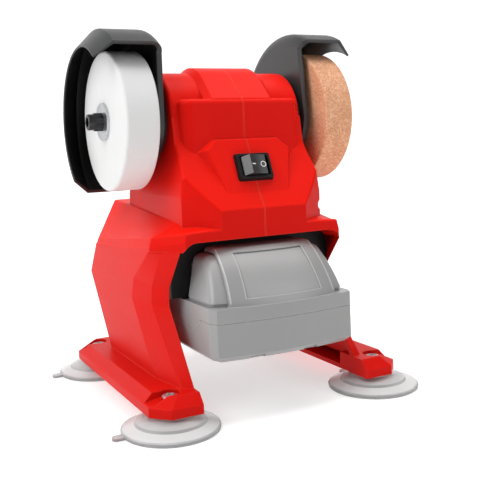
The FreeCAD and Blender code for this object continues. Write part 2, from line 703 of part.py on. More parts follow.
def guard(tilt):
    """Half shell open to the front and below, turned about the spindle line by its tilt."""
    lip = V(GUARD_LIP_X - GUARD_RIM_END_X, GUARD_LIP_RADIUS - GUARD_RADIUS, 0).normalize()
    inward = V(lip.y, -lip.x, 0) * GUARD_LIP_WALL
    bend_x = GUARD_RIM_END_X - GUARD_RIM_WALL * math.tan(math.acos(lip.x) / 2)
    inner_radius = GUARD_RADIUS - GUARD_RIM_WALL
    shell = turned([(GUARD_INNER_X, 0), (GUARD_INNER_X, GUARD_RADIUS, GUARD_CORNER),
                    (GUARD_RIM_END_X, GUARD_RADIUS, GUARD_BEND_ROUND),
                    (GUARD_LIP_X, GUARD_LIP_RADIUS, GUARD_LIP_ROUND),
                    (GUARD_LIP_X + inward.x, GUARD_LIP_RADIUS + inward.y, GUARD_LIP_ROUND),
                    (bend_x, inner_radius), (GUARD_PLATE_X, inner_radius, GUARD_CORNER - GUARD_WALL),
                    (GUARD_PLATE_X, 0)],
                   -180.0, tilt)
    end = GUARD_RADIUS - GUARD_CORNER
    touch = math.acos(GUARD_HUB_RADIUS / end)
    turn = math.radians(tilt)

    def place(u, w):
        return V(GUARD_INNER_X, w * math.cos(turn) - u * math.sin(turn),
                 AXIS_HEIGHT + u * math.cos(turn) + w * math.sin(turn))

    touch_u, touch_w = GUARD_HUB_RADIUS * math.cos(touch), -GUARD_HUB_RADIUS * math.sin(touch)
    web = outline([(end, 0), (touch_u, touch_w), (-touch_u, touch_w), (-end, 0)], place)
    web = web.extrude(V(GUARD_WALL, 0, 0))
    hub = rod_x(GUARD_HUB_RADIUS, GUARD_INNER_X, GUARD_PLATE_X)
    boss = rod_x(GUARD_BOSS_RADIUS, BARREL_HALF_LENGTH, GUARD_INNER_X)
    bore = rod_x(GUARD_BORE_RADIUS, BARREL_HALF_LENGTH, GUARD_PLATE_X)
    holes = guard_screw_rod(GUARD_SCREW_RADIUS + SCREW_CLEARANCE, BARREL_HALF_LENGTH, GUARD_PLATE_X)
    return join(shell, web, hub, boss).cut([bore] + holes)


def guard_screws():
    shanks = guard_screw_rod(GUARD_SCREW_RADIUS, BARREL_HALF_LENGTH - GUARD_SCREW_BITE, GUARD_PLATE_X)
    heads = guard_screw_rod(GUARD_SCREW_HEAD_RADIUS, GUARD_PLATE_X, GUARD_PLATE_X + GUARD_SCREW_HEAD)
    return Part.makeCompound([join(shank, head) for shank, head in zip(shanks, heads)])


# Housing, drawn as its right half

def slope_wedge(inset):
    """Space in front of the sloping front of the neck, moved inwards by an inset."""
    foot_y = inset * math.hypot(1.0, NECK_LEAN) - NECK_FRONT
    high = AXIS_HEIGHT + BARREL_RADIUS
    low = NECK_FACE_TOP - BARREL_RADIUS
    high_y = foot_y + NECK_LEAN * (high - NECK_FACE_TOP)
    low_y = foot_y + NECK_LEAN * (low - NECK_FACE_TOP)
    return prism_x([(low_y, low), (high_y, high), (-2 * NECK_FRONT, high), (-2 * NECK_FRONT, low)],
                   0.0, NECK_HALF_WIDTH + 1)


def neck_plan(half_width, inset):
    front = NECK_FRONT - inset
    corner_y = NECK_CORNER_Y - inset / 2
    return [(0, -front), (NECK_FACE_HALF, -front), (half_width - inset, -corner_y),
            (half_width - inset, corner_y), (NECK_FACE_HALF, front), (0, front)]


def neck(low, high, inset):
    """Faceted neck between two heights, with sloping front and back."""
    wide = neck_plan(NECK_HALF_WIDTH, inset)
    slim = neck_plan(NECK_TOP_HALF_WIDTH, inset)
    sections = [(wide, at_z(low)), (wide, at_z(NECK_FACET_LOW))]
    if high > NECK_FACET_HIGH:
        sections += [(slim, at_z(NECK_FACET_HIGH)), (slim, at_z(high))]
    else:
        sections += [(slim, at_z(high))]
    wedge = slope_wedge(inset)
    return loft(sections).cut([wedge, other_end(wedge)])


def outer_neck():
    top = AXIS_HEIGHT - BLOCK_RISE / 2
    low = SHOULDER_UNDERSIDE
    return soften(neck(low, top, 0.0), NECK_EDGE,
                  lambda b, m: b.XMax > 1e-3 and low + 1e-3 < b.ZMin < top - 1e-3)


def panel():
    front = [(0, 0), (PANEL_FOOT_HALF, 0), (PANEL_WAIST_HALF, PANEL_WAIST), (PANEL_TOP_HALF, PANEL_HEIGHT),
             (0, PANEL_HEIGHT)]
    rise = PANEL_SKIRT / 2
    back = [(0, -1), (PANEL_FOOT_HALF + 1, -1), (PANEL_WAIST_HALF + PANEL_SKIRT, PANEL_WAIST + 1),
            (PANEL_TOP_HALF + rise, PANEL_HEIGHT + rise), (0, PANEL_HEIGHT + rise)]
    plate = loft([(front, on_panel(0.0)), (back, on_panel(-PANEL_DEPTH))])
    foot = on_panel(0.0)(0, 0)
    out = on_panel(1.0)(0, 0) - foot
    return soften(plate, PANEL_EDGE, lambda b, m: m.x > 1e-3 and abs((m - foot).dot(out)) < 1e-3)


def strap():
    side = STRAP_HALF_WIDTH + STRAP_BEVEL
    band = turned([(0, 0), (side, 0), (side, BARREL_RADIUS), (STRAP_HALF_WIDTH, STRAP_RADIUS),
                   (0, STRAP_RADIUS)])
    front = -BLOCK_FRONT
    sections = []
    for x, radius in ((0.0, STRAP_RADIUS), (STRAP_HALF_WIDTH, STRAP_RADIUS), (side, BARREL_RADIUS)):
        crest = radius * math.sqrt(0.5)
        fall = BLOCK_FRONT - BLOCK_EDGE / 2 - crest
        side = [(0, AXIS_HEIGHT), (front, AXIS_HEIGHT), (front, AXIS_HEIGHT + BLOCK_RISE - BLOCK_EDGE),
                (-crest - fall, AXIS_HEIGHT + crest - fall), (-crest, AXIS_HEIGHT + crest),
                (0, AXIS_HEIGHT + crest)]
        sections.append((side, at_x(x)))
    return join(band, loft(sections))


def block():
    top = AXIS_HEIGHT + BLOCK_RISE
    body = prism_z([(0, 0), (BLOCK_HALF_WIDTH, 0), (BLOCK_HALF_WIDTH, -BLOCK_FRONT, BLOCK_CORNER),
                    (0, -BLOCK_FRONT)], NECK_FACET_HIGH - BLOCK_EDGE, top)
    return soften(body, BLOCK_EDGE, lambda b, m: b.ZMin > top - 1e-3 and m.x > 1e-3 and m.y < -1e-3)


def side_wall():
    """Wall that carries the barrel's front straight down to the neck's slope."""
    low = AXIS_HEIGHT - SIDE_WALL_DROP
    return prism_x([(0, AXIS_HEIGHT), (-BARREL_RADIUS, AXIS_HEIGHT), (-BARREL_RADIUS - SIDE_WALL_PROUD, low),
                    (0, low)], 0.0, NECK_TOP_HALF_WIDTH)


def side_slot():
    x = BARREL_HALF_LENGTH - SIDE_SLOT_SETBACK
    z = AXIS_HEIGHT + SIDE_SLOT_RISE
    return box(x - SIDE_SLOT_SIZE, x, -BARREL_RADIUS, SIDE_SLOT_DEPTH - BARREL_RADIUS, z, z + SIDE_SLOT_SIZE)


def shoulder():
    def section(top, inner, edge_x, edge, under):
        base = SHOULDER_UNDERSIDE
        return [(0, base + top), (inner, base + top), (edge_x - SHOULDER_BAND_LEAN, base + edge),
                (edge_x, base + edge - SHOULDER_BAND), (edge_x, base + under), (0, base + under)]

    side = SHOULDER_HALF_WIDTH
    front = section(SHOULDER_FACE_RISE, NECK_FACE_HALF + SHOULDER_FACE_FLARE, side - SHOULDER_FACE_INSET,
                    SHOULDER_FACE_RISE - 0.2, 0.0)
    corner = section(SHOULDER_SIDE_RISE, NECK_HALF_WIDTH, side, SHOULDER_EDGE_FRONT_RISE, 0.0)
    rear = section(SHOULDER_REAR_RISE, NECK_HALF_WIDTH + SHOULDER_REAR_FLARE, side, SHOULDER_EDGE_REAR_RISE,
                   SHOULDER_REAR_UNDERSIDE_RISE)
    body = loft([(front, at_y(-NECK_FRONT)), (corner, at_y(-SHOULDER_CORNER_Y)), (rear, at_y(SHOULDER_REAR))])
    return soften(body, SHOULDER_EDGE, lambda b, m: b.XMax > 1e-3 and b.ZMin > SHOULDER_UNDERSIDE + 1e-3)


def leg_height(share):
    return LEG_LOW + share * (LEG_TOP - LEG_LOW)


def leg_side(front, inset):
    """Side view of the leg at one depth, front edge and rear edge moved in by an inset."""
    ahead = [(y + inset * 1.3, leg_height(share)) for y, share in front]
    behind = [(y - inset * 1.3, leg_height(share)) for y, share in LEG_REAR]
    return ahead + behind


def leg():
    solid = [(leg_side(LEG_FRONT_INNER, 0), at_x(BAY_HALF_WIDTH)),
             (leg_side(LEG_FRONT_FLANGE, 0), at_x(LEG_FLANGE_X)),
             (leg_side(LEG_FRONT_SIDE, 0), at_x(SHOULDER_HALF_WIDTH))]
    return soften(loft(solid), LEG_EDGE, lambda b, m: m.x > BAY_HALF_WIDTH + 1e-3)


def leg_hollow():
    return loft([(leg_side(LEG_FRONT_INNER, LEG_WALL), at_x(BAY_HALF_WIDTH - 0.5)),
                 (leg_side(LEG_FRONT_FLANGE, LEG_WALL), at_x(LEG_FLANGE_X - LEG_WALL / 2)),
                 (leg_side(LEG_FRONT_SIDE, LEG_WALL), at_x(SHOULDER_HALF_WIDTH - LEG_WALL))])


def foot_plan(taper):
    outer = FOOT_OUTER_X - taper
    end = FOOT_HALF_LENGTH - taper
    return [(BAY_HALF_WIDTH, -end), (outer - FOOT_CHAMFER_X, -end), (outer, FOOT_CHAMFER_Y - end),
            (outer, end - FOOT_CHAMFER_Y), (outer - FOOT_CHAMFER_X, end), (BAY_HALF_WIDTH, end)]


def foot():
    bar = loft([(foot_plan(0), at_z(FOOT_BOTTOM)), (foot_plan(0), at_z(FOOT_STEP)),
                (foot_plan(FOOT_TAPER), at_z(FOOT_TOP))])
    bar = soften(bar, FOOT_EDGE, lambda b, m: m.x > BAY_HALF_WIDTH + 1e-3 and b.ZMax > FOOT_BOTTOM + 1e-3)
    hollow_y = CUP_Y - FOOT_HOLLOW_END
    channel_rear = LEG_REAR[0][0] - 1.3 * LEG_WALL
    tools = [box(BAY_HALF_WIDTH - 1, FOOT_OUTER_X - FOOT_HOLLOW_SIDE, -hollow_y, hollow_y, FOOT_ON,
                 FOOT_BOTTOM + FOOT_HOLLOW_RISE),
             box(BAY_HALF_WIDTH - 1, SHOULDER_HALF_WIDTH - LEG_WALL, -hollow_y, channel_rear, FOOT_ON,
                 FOOT_TOP + 1)]
    for end in (-1, 1):
        y = end * CUP_Y
        pocket = rod_z(CUP_POCKET_RADIUS, CUP_POCKET_FLOOR, FOOT_TOP + 1, CUP_X, y)
        notch = prism_y([(CUP_X, FOOT_TOP + 1), (CUP_X, CUP_POCKET_FLOOR), (FOOT_OUTER_X + 1, FOOT_STEP),
                         (FOOT_OUTER_X + 1, FOOT_TOP + 1)], y - CUP_NOTCH_WIDTH / 2, y + CUP_NOTCH_WIDTH / 2)
        hole = rod_z(CUP_SCREW_RADIUS + SCREW_CLEARANCE, FOOT_BOTTOM, CUP_POCKET_FLOOR, CUP_X, y)
        tools += [pocket, notch, hole]
    return bar.cut(tools)


def bay():
    return prism_y([(-1, -1), (BAY_HALF_WIDTH, -1), (BAY_HALF_WIDTH, BAY_TOP, BAY_CORNER), (-1, BAY_TOP)],
                   -2 * NECK_FRONT, 2 * NECK_FRONT)


def motor_space():
    relief = BARREL_RADIUS - BARREL_WALL
    return [rod_x(CAN_RADIUS, -1.0, CAN_HALF_LENGTH), rod_x(relief, -1.0, CAN_RIB_X),
            rod_x(relief, CAN_RIB_X + CAN_RIB_WIDTH, CAN_HALF_LENGTH),
            rod_x(BEARING_RADIUS, CAN_HALF_LENGTH, BEARING_OUTER_X),
            rod_x(BEARING_LIP_HOLE, BEARING_OUTER_X, BARREL_HALF_LENGTH + 1)]


def neck_space():
    hollow = neck(BAY_TOP + NECK_WALL, AXIS_HEIGHT - BARREL_RADIUS, NECK_WALL)
    bosses = [rod_x(HOUSING_BOSS, -1.0, NECK_HALF_WIDTH, y, z) for y, z in HOUSING_SCREWS]
    return hollow.cut(bosses)


def switch_space():
    wide = SWITCH_BODY_WIDTH / 2
    tall = SWITCH_BODY_HEIGHT / 2
    low, high = SWITCH_CENTRE - tall, SWITCH_CENTRE + tall
    face = outline([(-wide, low), (wide, low), (wide, high), (-wide, high)], on_panel(1.0))
    inwards = on_panel(-1.0)(0, 0) - on_panel(0.0)(0, 0)
    return face.extrude(inwards * (SWITCH_BODY_DEPTH + TAB_LENGTH + 4.0))


def vents():
    slots = []
    for angle in VENT_ANGLES:
        near, half, bend = VENT_END_X - VENT_LENGTH, VENT_WIDTH / 2, VENT_WIDTH * 0.4
        slot = prism_z([(near, -half, bend), (VENT_END_X, -half, bend), (VENT_END_X, half, bend),
                        (near, half, bend)], AXIS_HEIGHT + CAN_RADIUS, AXIS_HEIGHT + STRAP_RADIUS)
        slots.append(spun(slot, -angle))
    return slots


def half_housing():
    shell = join(turned([(0, 0), (BARREL_HALF_LENGTH, 0), (BARREL_HALF_LENGTH, BARREL_RADIUS, BARREL_EDGE),
                         (0, BARREL_RADIUS)]),
                 strap(), block(), side_wall(), outer_neck(), panel(), shoulder())
    shell = shell.cut(motor_space() + vents() + [neck_space(), switch_space(), bay()])
    side = leg().cut(leg_hollow())
    pilots = guard_screw_rod(GUARD_SCREW_RADIUS, BARREL_HALF_LENGTH - GUARD_SCREW_BITE, BARREL_HALF_LENGTH)
    body = join(shell, side, foot()).cut(pilots)
    return body.cut(box(-1, SEAM_GAP / 2, -AXIS_HEIGHT, AXIS_HEIGHT, 0, 2 * AXIS_HEIGHT))


def right_housing(half):
    tools = [side_slot()]
    for y, z in HOUSING_SCREWS:
        tools.append(rod_x(HOUSING_SCREW_RADIUS + SCREW_CLEARANCE, 0.0, HOUSING_SCREW_SEAT_X, y, z))
        tools.append(rod_x(HOUSING_SCREW_WELL, HOUSING_SCREW_SEAT_X, SHOULDER_HALF_WIDTH, y, z))
    return half.cut(tools)


def left_housing(half):
    return other_side(half).cut([rod_x(HOUSING_SCREW_RADIUS, HOUSING_SCREW_END_X, 0.0, y, z)
                                 for y, z in HOUSING_SCREWS])


def housing_screws():
    screws = []
    for y, z in HOUSING_SCREWS:
        shank = rod_x(HOUSING_SCREW_RADIUS, HOUSING_SCREW_END_X, HOUSING_SCREW_SEAT_X, y, z)
        head_x = HOUSING_SCREW_SEAT_X + HOUSING_SCREW_HEAD
        head = rod_x(HOUSING_SCREW_HEAD_RADIUS, HOUSING_SCREW_SEAT_X, head_x, y, z)
        screws.append(join(shank, head))
    return Part.makeCompound(screws)


# Rocker switch

def panel_block(width, height, low, high, corner, draft=0.0):
    """Block centred on the switch, between two lifts off the panel."""
    def corners(shrink):
        a, b = width / 2 - shrink, height / 2 - shrink
        low, high = SWITCH_CENTRE - b, SWITCH_CENTRE + b
        return [(-a, low, corner), (a, low, corner), (a, high, corner), (-a, high, corner)]

    return loft([(corners(0.0), on_panel(low)), (corners(draft), on_panel(high))])


def rocker_pins(fit):
    reach = ROCKER_HEIGHT / 2 + ROCKER_PIN_LENGTH
    start = on_panel(-ROCKER_PIVOT_DEPTH)(0, SWITCH_CENTRE - reach)
    along = on_panel(-ROCKER_PIVOT_DEPTH)(0, SWITCH_CENTRE + reach) - start
    return Part.makeCylinder(ROCKER_PIN_RADIUS + fit, along.Length, start, along)


def switch_body():
    body = panel_block(SWITCH_BODY_WIDTH, SWITCH_BODY_HEIGHT, -SWITCH_BODY_DEPTH, 0.0, BEZEL_CORNER)
    bezel = panel_block(BEZEL_WIDTH, BEZEL_HEIGHT, 0.0, BEZEL_PROUD, BEZEL_CORNER, BEZEL_DRAFT)
    well_width = 2 * (ROCKER_RADIUS + ROCKER_END_GAP)
    well_height = ROCKER_HEIGHT + 2 * MOVING_GAP
    well = panel_block(well_width, well_height, -SWITCH_WELL_DEPTH, BEZEL_PROUD, BEZEL_CORNER / 2)
    return join(body, bezel).cut([well, rocker_pins(RUNNING_FIT)])


def rocker():
    """Segment of a drum round its pins, with flat flanks and a dished face, tipped in at its right end."""
    pivot = on_panel(-ROCKER_PIVOT_DEPTH)(0, SWITCH_CENTRE)
    up = on_panel(-ROCKER_PIVOT_DEPTH)(0, SWITCH_CENTRE + 1) - pivot
    out = on_panel(1 - ROCKER_PIVOT_DEPTH)(0, SWITCH_CENTRE) - pivot
    base = pivot - up * (ROCKER_HEIGHT / 2)
    rim = math.sqrt(ROCKER_RADIUS ** 2 - ROCKER_CROWN ** 2)
    keel = math.sqrt(ROCKER_RADIUS ** 2 - ROCKER_KEEL ** 2)

    def spot(a, b):
        return base + V(a, 0, 0) + out * b

    flank = math.radians(ROCKER_FLANK_ANGLE)
    flank_a, flank_b = ROCKER_RADIUS * math.cos(flank), ROCKER_RADIUS * math.sin(flank)
    left_rim, right_rim = spot(-rim, ROCKER_CROWN), spot(rim, ROCKER_CROWN)
    left_flank, right_flank = spot(-flank_a, flank_b), spot(flank_a, flank_b)
    left_keel, right_keel = spot(-keel, -ROCKER_KEEL), spot(keel, -ROCKER_KEEL)
    dish = spot(0, ROCKER_CROWN - ROCKER_DISH)
    edges = [Part.LineSegment(left_rim, left_flank), Part.Arc(left_flank, spot(-ROCKER_RADIUS, 0), left_keel),
             Part.LineSegment(left_keel, right_keel),
             Part.Arc(right_keel, spot(ROCKER_RADIUS, 0), right_flank),
             Part.LineSegment(right_flank, right_rim), Part.Arc(right_rim, dish, left_rim)]
    face = Part.Face(Part.Wire([edge.toShape() for edge in edges]))
    button = join(face.extrude(up * ROCKER_HEIGHT), rocker_pins(0.0))
    button.rotate(pivot, up, ROCKER_SWING)
    return button


def switch_tabs():
    inwards = on_panel(-1.0)(0, 0) - on_panel(0.0)(0, 0)
    tabs = []
    for x in (-TAB_PITCH / 2, TAB_PITCH / 2):
        a, b = TAB_THICKNESS / 2, TAB_WIDTH / 2
        low, high = SWITCH_CENTRE - b, SWITCH_CENTRE + b
        corners = [(x - a, low), (x + a, low), (x + a, high), (x - a, high)]
        tabs.append(outline(corners, on_panel(-SWITCH_BODY_DEPTH)).extrude(inwards * TAB_LENGTH))
    return Part.makeCompound(tabs)


# Suction cups

def suction_cup(side, end, tab_angle):
    x, y = side * CUP_X, end * CUP_Y
    corners = [(0, CUP_HOLLOW), (CUP_NECK_RADIUS, CUP_HOLLOW - 0.2), (CUP_RADIUS - 2.2, 0),
               (CUP_RADIUS - 0.5, 0), (CUP_RADIUS, 0.5), (CUP_RADIUS, CUP_RIM - 0.4),
               (CUP_RADIUS - 0.4, CUP_RIM), (CUP_STEP_RADIUS, CUP_STEP_LOW),
               (CUP_STEP_RADIUS - 0.8, CUP_STEP_HIGH),
               (CUP_NECK_RADIUS + 2, FOOT_BOTTOM - 1.4), (CUP_NECK_RADIUS, FOOT_BOTTOM), (0, FOOT_BOTTOM)]
    cup = outline(corners, lambda r, z: V(x + r, y, z)).revolve(V(x, y, 0), V(0, 0, 1), 360)
    reach = CUP_RADIUS + CUP_TAB_REACH
    half = CUP_TAB_WIDTH / 2
    tab = prism_z([(CUP_RADIUS - 1.5, -half), (reach, -half, half * 0.9), (reach, half, half * 0.9),
                   (CUP_RADIUS - 1.5, half)], 0.3, 0.3 + CUP_TAB_THICKNESS)
    tab.rotate(V(0, 0, 0), V(0, 0, 1), tab_angle)
    tab.translate(V(x, y, 0))
    return join(cup, tab).cut(rod_z(CUP_SCREW_RADIUS, CUP_SCREW_END, FOOT_BOTTOM, x, y))


def cup_screws():
    screws = []
    for side, end, _ in CUP_PLACES:
        x, y = side * CUP_X, end * CUP_Y
        head = rod_z(CUP_SCREW_HEAD_RADIUS, CUP_POCKET_FLOOR, CUP_POCKET_FLOOR + CUP_SCREW_HEAD, x, y)
        cross = [box(x - 2.2, x + 2.2, y - 0.5, y + 0.5, CUP_POCKET_FLOOR + 0.9, FOOT_TOP + 1),
                 box(x - 0.5, x + 0.5, y - 2.2, y + 2.2, CUP_POCKET_FLOOR + 0.9, FOOT_TOP + 1)]
        shank = rod_z(CUP_SCREW_RADIUS, CUP_SCREW_END, CUP_POCKET_FLOOR, x, y)
        screws.append(join(head, shank).cut(cross))
    return Part.makeCompound(screws)


# Battery pack

def pack_plan(inset):
    half = PACK_HALF_WIDTH - inset
    front, rear = PACK_FRONT - inset, PACK_REAR - inset
    bend = PACK_CORNER_ROUND
    return full([(half - PACK_CORNER_X, -front, bend), (half, PACK_CORNER_Y - front, bend),
                 (half, rear - PACK_CORNER_Y, bend), (half - PACK_CORNER_X, rear, bend)])


def pack_crown(inset):
    """Space behind the crowned front of the pack, moved inwards by an inset."""
    radius, centre = PACK_CROWN - inset, PACK_CROWN - PACK_FRONT
    corners = [(0, PACK_BOTTOM), (radius - PACK_BOTTOM_CHAMFER, PACK_BOTTOM),
               (radius, PACK_BOTTOM + PACK_BOTTOM_CHAMFER), (radius, PACK_DECK), (0, PACK_DECK)]
    return outline(corners, lambda r, z: V(r, centre, z)).revolve(V(0, centre, 0), V(0, 0, 1), 360)


def dome_front(inset):
    """Ring whose outside is the front of the dome, crowned from side to side and curved up to its top."""
    centre = DOME_CROWN - DOME_FRONT
    lean = math.radians(DOME_LEAN)
    curve_r, curve_z = DOME_CROWN - DOME_CURVE * math.cos(lean), PACK_DECK - DOME_CURVE * math.sin(lean)
    low, top = PACK_DECK, DOME_TOP - inset

    def skin(z):
        return V(0, centre - curve_r - math.sqrt((DOME_CURVE - inset) ** 2 - (z - curve_z) ** 2), z)

    back_low, back_top = V(0, centre - DOME_CROWN / 2, low), V(0, centre - DOME_CROWN / 2, top)
    edges = [Part.LineSegment(back_low, skin(low)), Part.Arc(skin(low), skin((low + top) / 2), skin(top)),
             Part.LineSegment(skin(top), back_top), Part.LineSegment(back_top, back_low)]
    face = Part.Face(Part.Wire([edge.toShape() for edge in edges]))
    whole = face.revolve(V(0, centre, 0), V(0, 0, 1), 360)
    return soften(whole, DOME_EDGE - inset, lambda b, m: b.ZMin > top - 1e-3 and b.YMin < skin(top).y + 1e-3)


def hood(inset):
    """Middle of the dome, its skin moved inwards by an inset."""
    sides = full([(HOOD_HALF_LOW - inset, PACK_DECK), (HOOD_HALF_HIGH - inset, DOME_TOP - inset, HOOD_ROUND)])
    return dome_front(inset).common(prism_y(sides, -PACK_FRONT, -DOME_REAR - inset))


def cheeks(inset, low):
    """Sides of the dome, sunk below the hood's skin and moved inwards by an inset."""
    half = BUTTON_HALF_LOW - inset
    top = PACK_DECK + BUTTON_HIGH - inset
    sides = full([(half, low), (half - BUTTON_SIDE_LEAN, top, BUTTON_ROUND - inset)])
    return dome_front(BUTTON_SUNK + inset).common(prism_y(sides, -PACK_FRONT, -DOME_REAR))


def side_tongue(gap):
    """Stretch of the upper case's side that hangs over the lower case, with a gap round it."""
    low = PACK_SEAM - TONGUE_DROP - gap
    front, rear = -TONGUE_FRONT - gap, TONGUE_REAR + gap
    edge = [(front, PACK_SEAM), (front, low + TONGUE_CHAMFER), (front + 1.6 * TONGUE_CHAMFER, low),
            (rear - 1.6 * TONGUE_CHAMFER, low), (rear, low + TONGUE_CHAMFER), (rear, PACK_SEAM)]
    return prism_x(edge, PACK_HALF_WIDTH - PACK_WALL, PACK_HALF_WIDTH)


def case_post_spots():
    return [(side * CASE_SCREW_X, y) for side in (-1, 1) for y in CASE_SCREW_Y]


def battery_lower_case():
    shell = loft([(pack_plan(PACK_BOTTOM_CHAMFER), at_z(PACK_BOTTOM)),
                  (pack_plan(0.0), at_z(PACK_BOTTOM + PACK_BOTTOM_CHAMFER)),
                  (pack_plan(0.0), at_z(PACK_SEAM - SEAM_GAP))]).common(pack_crown(0.0))
    hollow = prism_z(pack_plan(PACK_WALL), PACK_BOTTOM + PACK_WALL, PACK_SEAM).common(pack_crown(PACK_WALL))
    spots = case_post_spots()
    hole, head = CASE_SCREW_RADIUS + SCREW_CLEARANCE, CASE_SCREW_HEAD_RADIUS + SCREW_CLEARANCE
    seat = PACK_BOTTOM + 2 * CASE_SCREW_HEAD
    posts = [rod_z(CASE_POST_RADIUS, PACK_BOTTOM, PACK_SEAM, x, y) for x, y in spots]
    holes = [rod_z(hole, PACK_BOTTOM, PACK_SEAM, x, y) for x, y in spots]
    wells = [rod_z(head, PACK_BOTTOM, seat, x, y) for x, y in spots]
    notches = [box(x - PACK_NOTCH_WIDTH / 2, x + PACK_NOTCH_WIDTH / 2, -PACK_FRONT, 4 - PACK_FRONT,
                   PACK_BOTTOM, PACK_BOTTOM + PACK_NOTCH_DEPTH) for x in PACK_NOTCHES]
    tongue = side_tongue(SEAM_GAP)
    return shell.cut(hollow.cut(posts)).cut(holes + wells + notches + [tongue, other_side(tongue)])


def release_button():
    low = PACK_DECK + BUTTON_LOW
    outer = soften(cheeks(0.0, low), BUTTON_CORNER,
                   lambda b, m: b.XLength > 1e-3 and b.YLength > 1e-3 and b.ZMax > low + 1e-3)
    side = box(BUTTON_INNER_X, PACK_HALF_WIDTH, -PACK_FRONT, -DOME_REAR - MOVING_GAP, PACK_DECK, DOME_TOP)
    return outer.common(side).cut(cheeks(BUTTON_THICKNESS, low))


def button_space():
    """Room for a release button and its travel, open at the side."""
    inner = BUTTON_INNER_X - BUTTON_TRAVEL - MOVING_GAP
    side = box(inner, PACK_HALF_WIDTH, -PACK_FRONT, -DOME_REAR, PACK_DECK, DOME_TOP)
    return cheeks(-MOVING_GAP, PACK_DECK + BUTTON_LOW - MOVING_GAP).common(side)


def battery_upper_case():
    deck = prism_z(pack_plan(0.0), PACK_SEAM, PACK_DECK).common(pack_crown(0.0))
    tongue = side_tongue(0.0)
    cap = hood(0.0)
    plate = full([(LABEL_HALF_WIDTH, PACK_DECK + LABEL_LOW),
                  (LABEL_HALF_WIDTH - LABEL_LEAN, PACK_DECK + LABEL_HIGH)])
    label = cap.cut(hood(LABEL_DEPTH)).common(prism_y(plate, -PACK_FRONT, -DOME_REAR - DOME_EDGE))
    rails = prism_y(rail_section(0.0), -DOME_REAR, RAIL_REAR)
    opening = HOOD_HALF_HIGH - PACK_WALL
    hollows = [prism_z(pack_plan(PACK_WALL), PACK_SEAM, PACK_DECK - PACK_WALL).common(pack_crown(PACK_WALL)),
               hood(PACK_WALL), box(-opening, opening, 3 * PACK_WALL - DOME_FRONT, -DOME_REAR - PACK_WALL,
                                    PACK_SEAM, PACK_DECK + 1)]
    posts = [rod_z(CASE_POST_RADIUS, PACK_SEAM, PACK_DECK, x, y) for x, y in case_post_spots()]
    hollows[0] = hollows[0].cut(posts)
    pilots = [rod_z(CASE_SCREW_RADIUS, PACK_SEAM, PACK_SEAM + CASE_SCREW_BITE, x, y)
              for x, y in case_post_spots()]
    slots = []
    for i in (-1, 0, 1):
        half = BLADE_THICKNESS / 2 + BLADE_SLOT_GAP
        tall = BLADE_HEIGHT / 2 + BLADE_SLOT_GAP
        slots.append(box(i * BLADE_PITCH - half, i * BLADE_PITCH + half, RAIL_REAR - BLADE_LENGTH, RAIL_REAR,
                         BLADE_MIDDLE - tall, BLADE_MIDDLE + tall))
    space = button_space()
    tools = hollows + pilots + slots + [label, space, other_side(space)]
    return join(deck, tongue, other_side(tongue), cap, rails).cut(tools)


def cell_spots():
    return [CELL_FRONT_Y + i * CELL_PITCH for i in range(CELL_COUNT)]


def battery_cells():
    z = PACK_BOTTOM + PACK_WALL + CELL_RADIUS
    half = CELL_LENGTH / 2
    return Part.makeCompound([rod_x(CELL_RADIUS, -half, half, y, z) for y in cell_spots()])


def cell_links():
    z = PACK_BOTTOM + PACK_WALL + CELL_RADIUS
    links = []
    spots = cell_spots()
    for i in range(CELL_COUNT - 1):
        x = CELL_LENGTH / 2 if i % 2 else -CELL_LENGTH / 2 - LINK_THICKNESS
        links.append(box(x, x + LINK_THICKNESS, spots[i] - LINK_WIDTH / 2, spots[i + 1] + LINK_WIDTH / 2,
                         z - LINK_WIDTH / 2, z + LINK_WIDTH / 2))
    return Part.makeCompound(links)


def case_screws():
    screws = []
    floor = PACK_BOTTOM + 2 * CASE_SCREW_HEAD
    for x, y in case_post_spots():
        head = rod_z(CASE_SCREW_HEAD_RADIUS, floor - CASE_SCREW_HEAD, floor, x, y)
        screws.append(join(head, rod_z(CASE_SCREW_RADIUS, floor, PACK_SEAM + CASE_SCREW_BITE, x, y)))
    return Part.makeCompound(screws)


# Battery dock

def rail_section(gap):
    """Section of the battery pack's rails, with a gap round it."""
    stem, flange = RAIL_HALF_WIDTH + gap, RAIL_FLANGE_HALF_WIDTH + gap
    return full([(stem, PACK_DECK), (stem, RAIL_FLANGE_LOW - gap), (flange, RAIL_FLANGE_LOW - gap),
                 (flange, RAIL_FLANGE_HIGH + gap)])


def battery_dock():
    inner = BAY_HALF_WIDTH - DOCK_WALL
    roof = BAY_TOP - DOCK_ROOF
    front = DOCK_FRONT_GAP - DOME_REAR
    inside = front + DOCK_FRONT_WALL
    arch = prism_y(full([(BAY_HALF_WIDTH, BAY_TOP, BAY_CORNER), (BAY_HALF_WIDTH, DOCK_LOW)]), front,
                   DOCK_REAR)
    skirt = box(-BAY_HALF_WIDTH, BAY_HALF_WIDTH, front, inside, PACK_DECK + DOORWAY_GAP, DOCK_LOW)
    space = prism_y(full([(inner, roof, BAY_CORNER - DOCK_ROOF), (inner, DOCK_LOW)]), inside,
                    DOCK_INSIDE_REAR)
    doorway = prism_y(rail_section(DOORWAY_GAP), front, inside)
    ledge_top = RAIL_FLANGE_LOW - MOVING_GAP
    ledge = box(RAIL_HALF_WIDTH + 2 * MOVING_GAP, inner, -LEDGE_FRONT, DOCK_INSIDE_REAR,
                ledge_top - LEDGE_HEIGHT, ledge_top)
    return join(arch.cut(space), skirt, ledge, other_side(ledge)).cut(doorway)


def terminal_block():
    return box(-TERMINAL_BLOCK_HALF, TERMINAL_BLOCK_HALF, BLADE_ROOT_Y, DOCK_INSIDE_REAR, DOCK_LOW,
               DOCK_LOW + TERMINAL_BLOCK_HEIGHT)


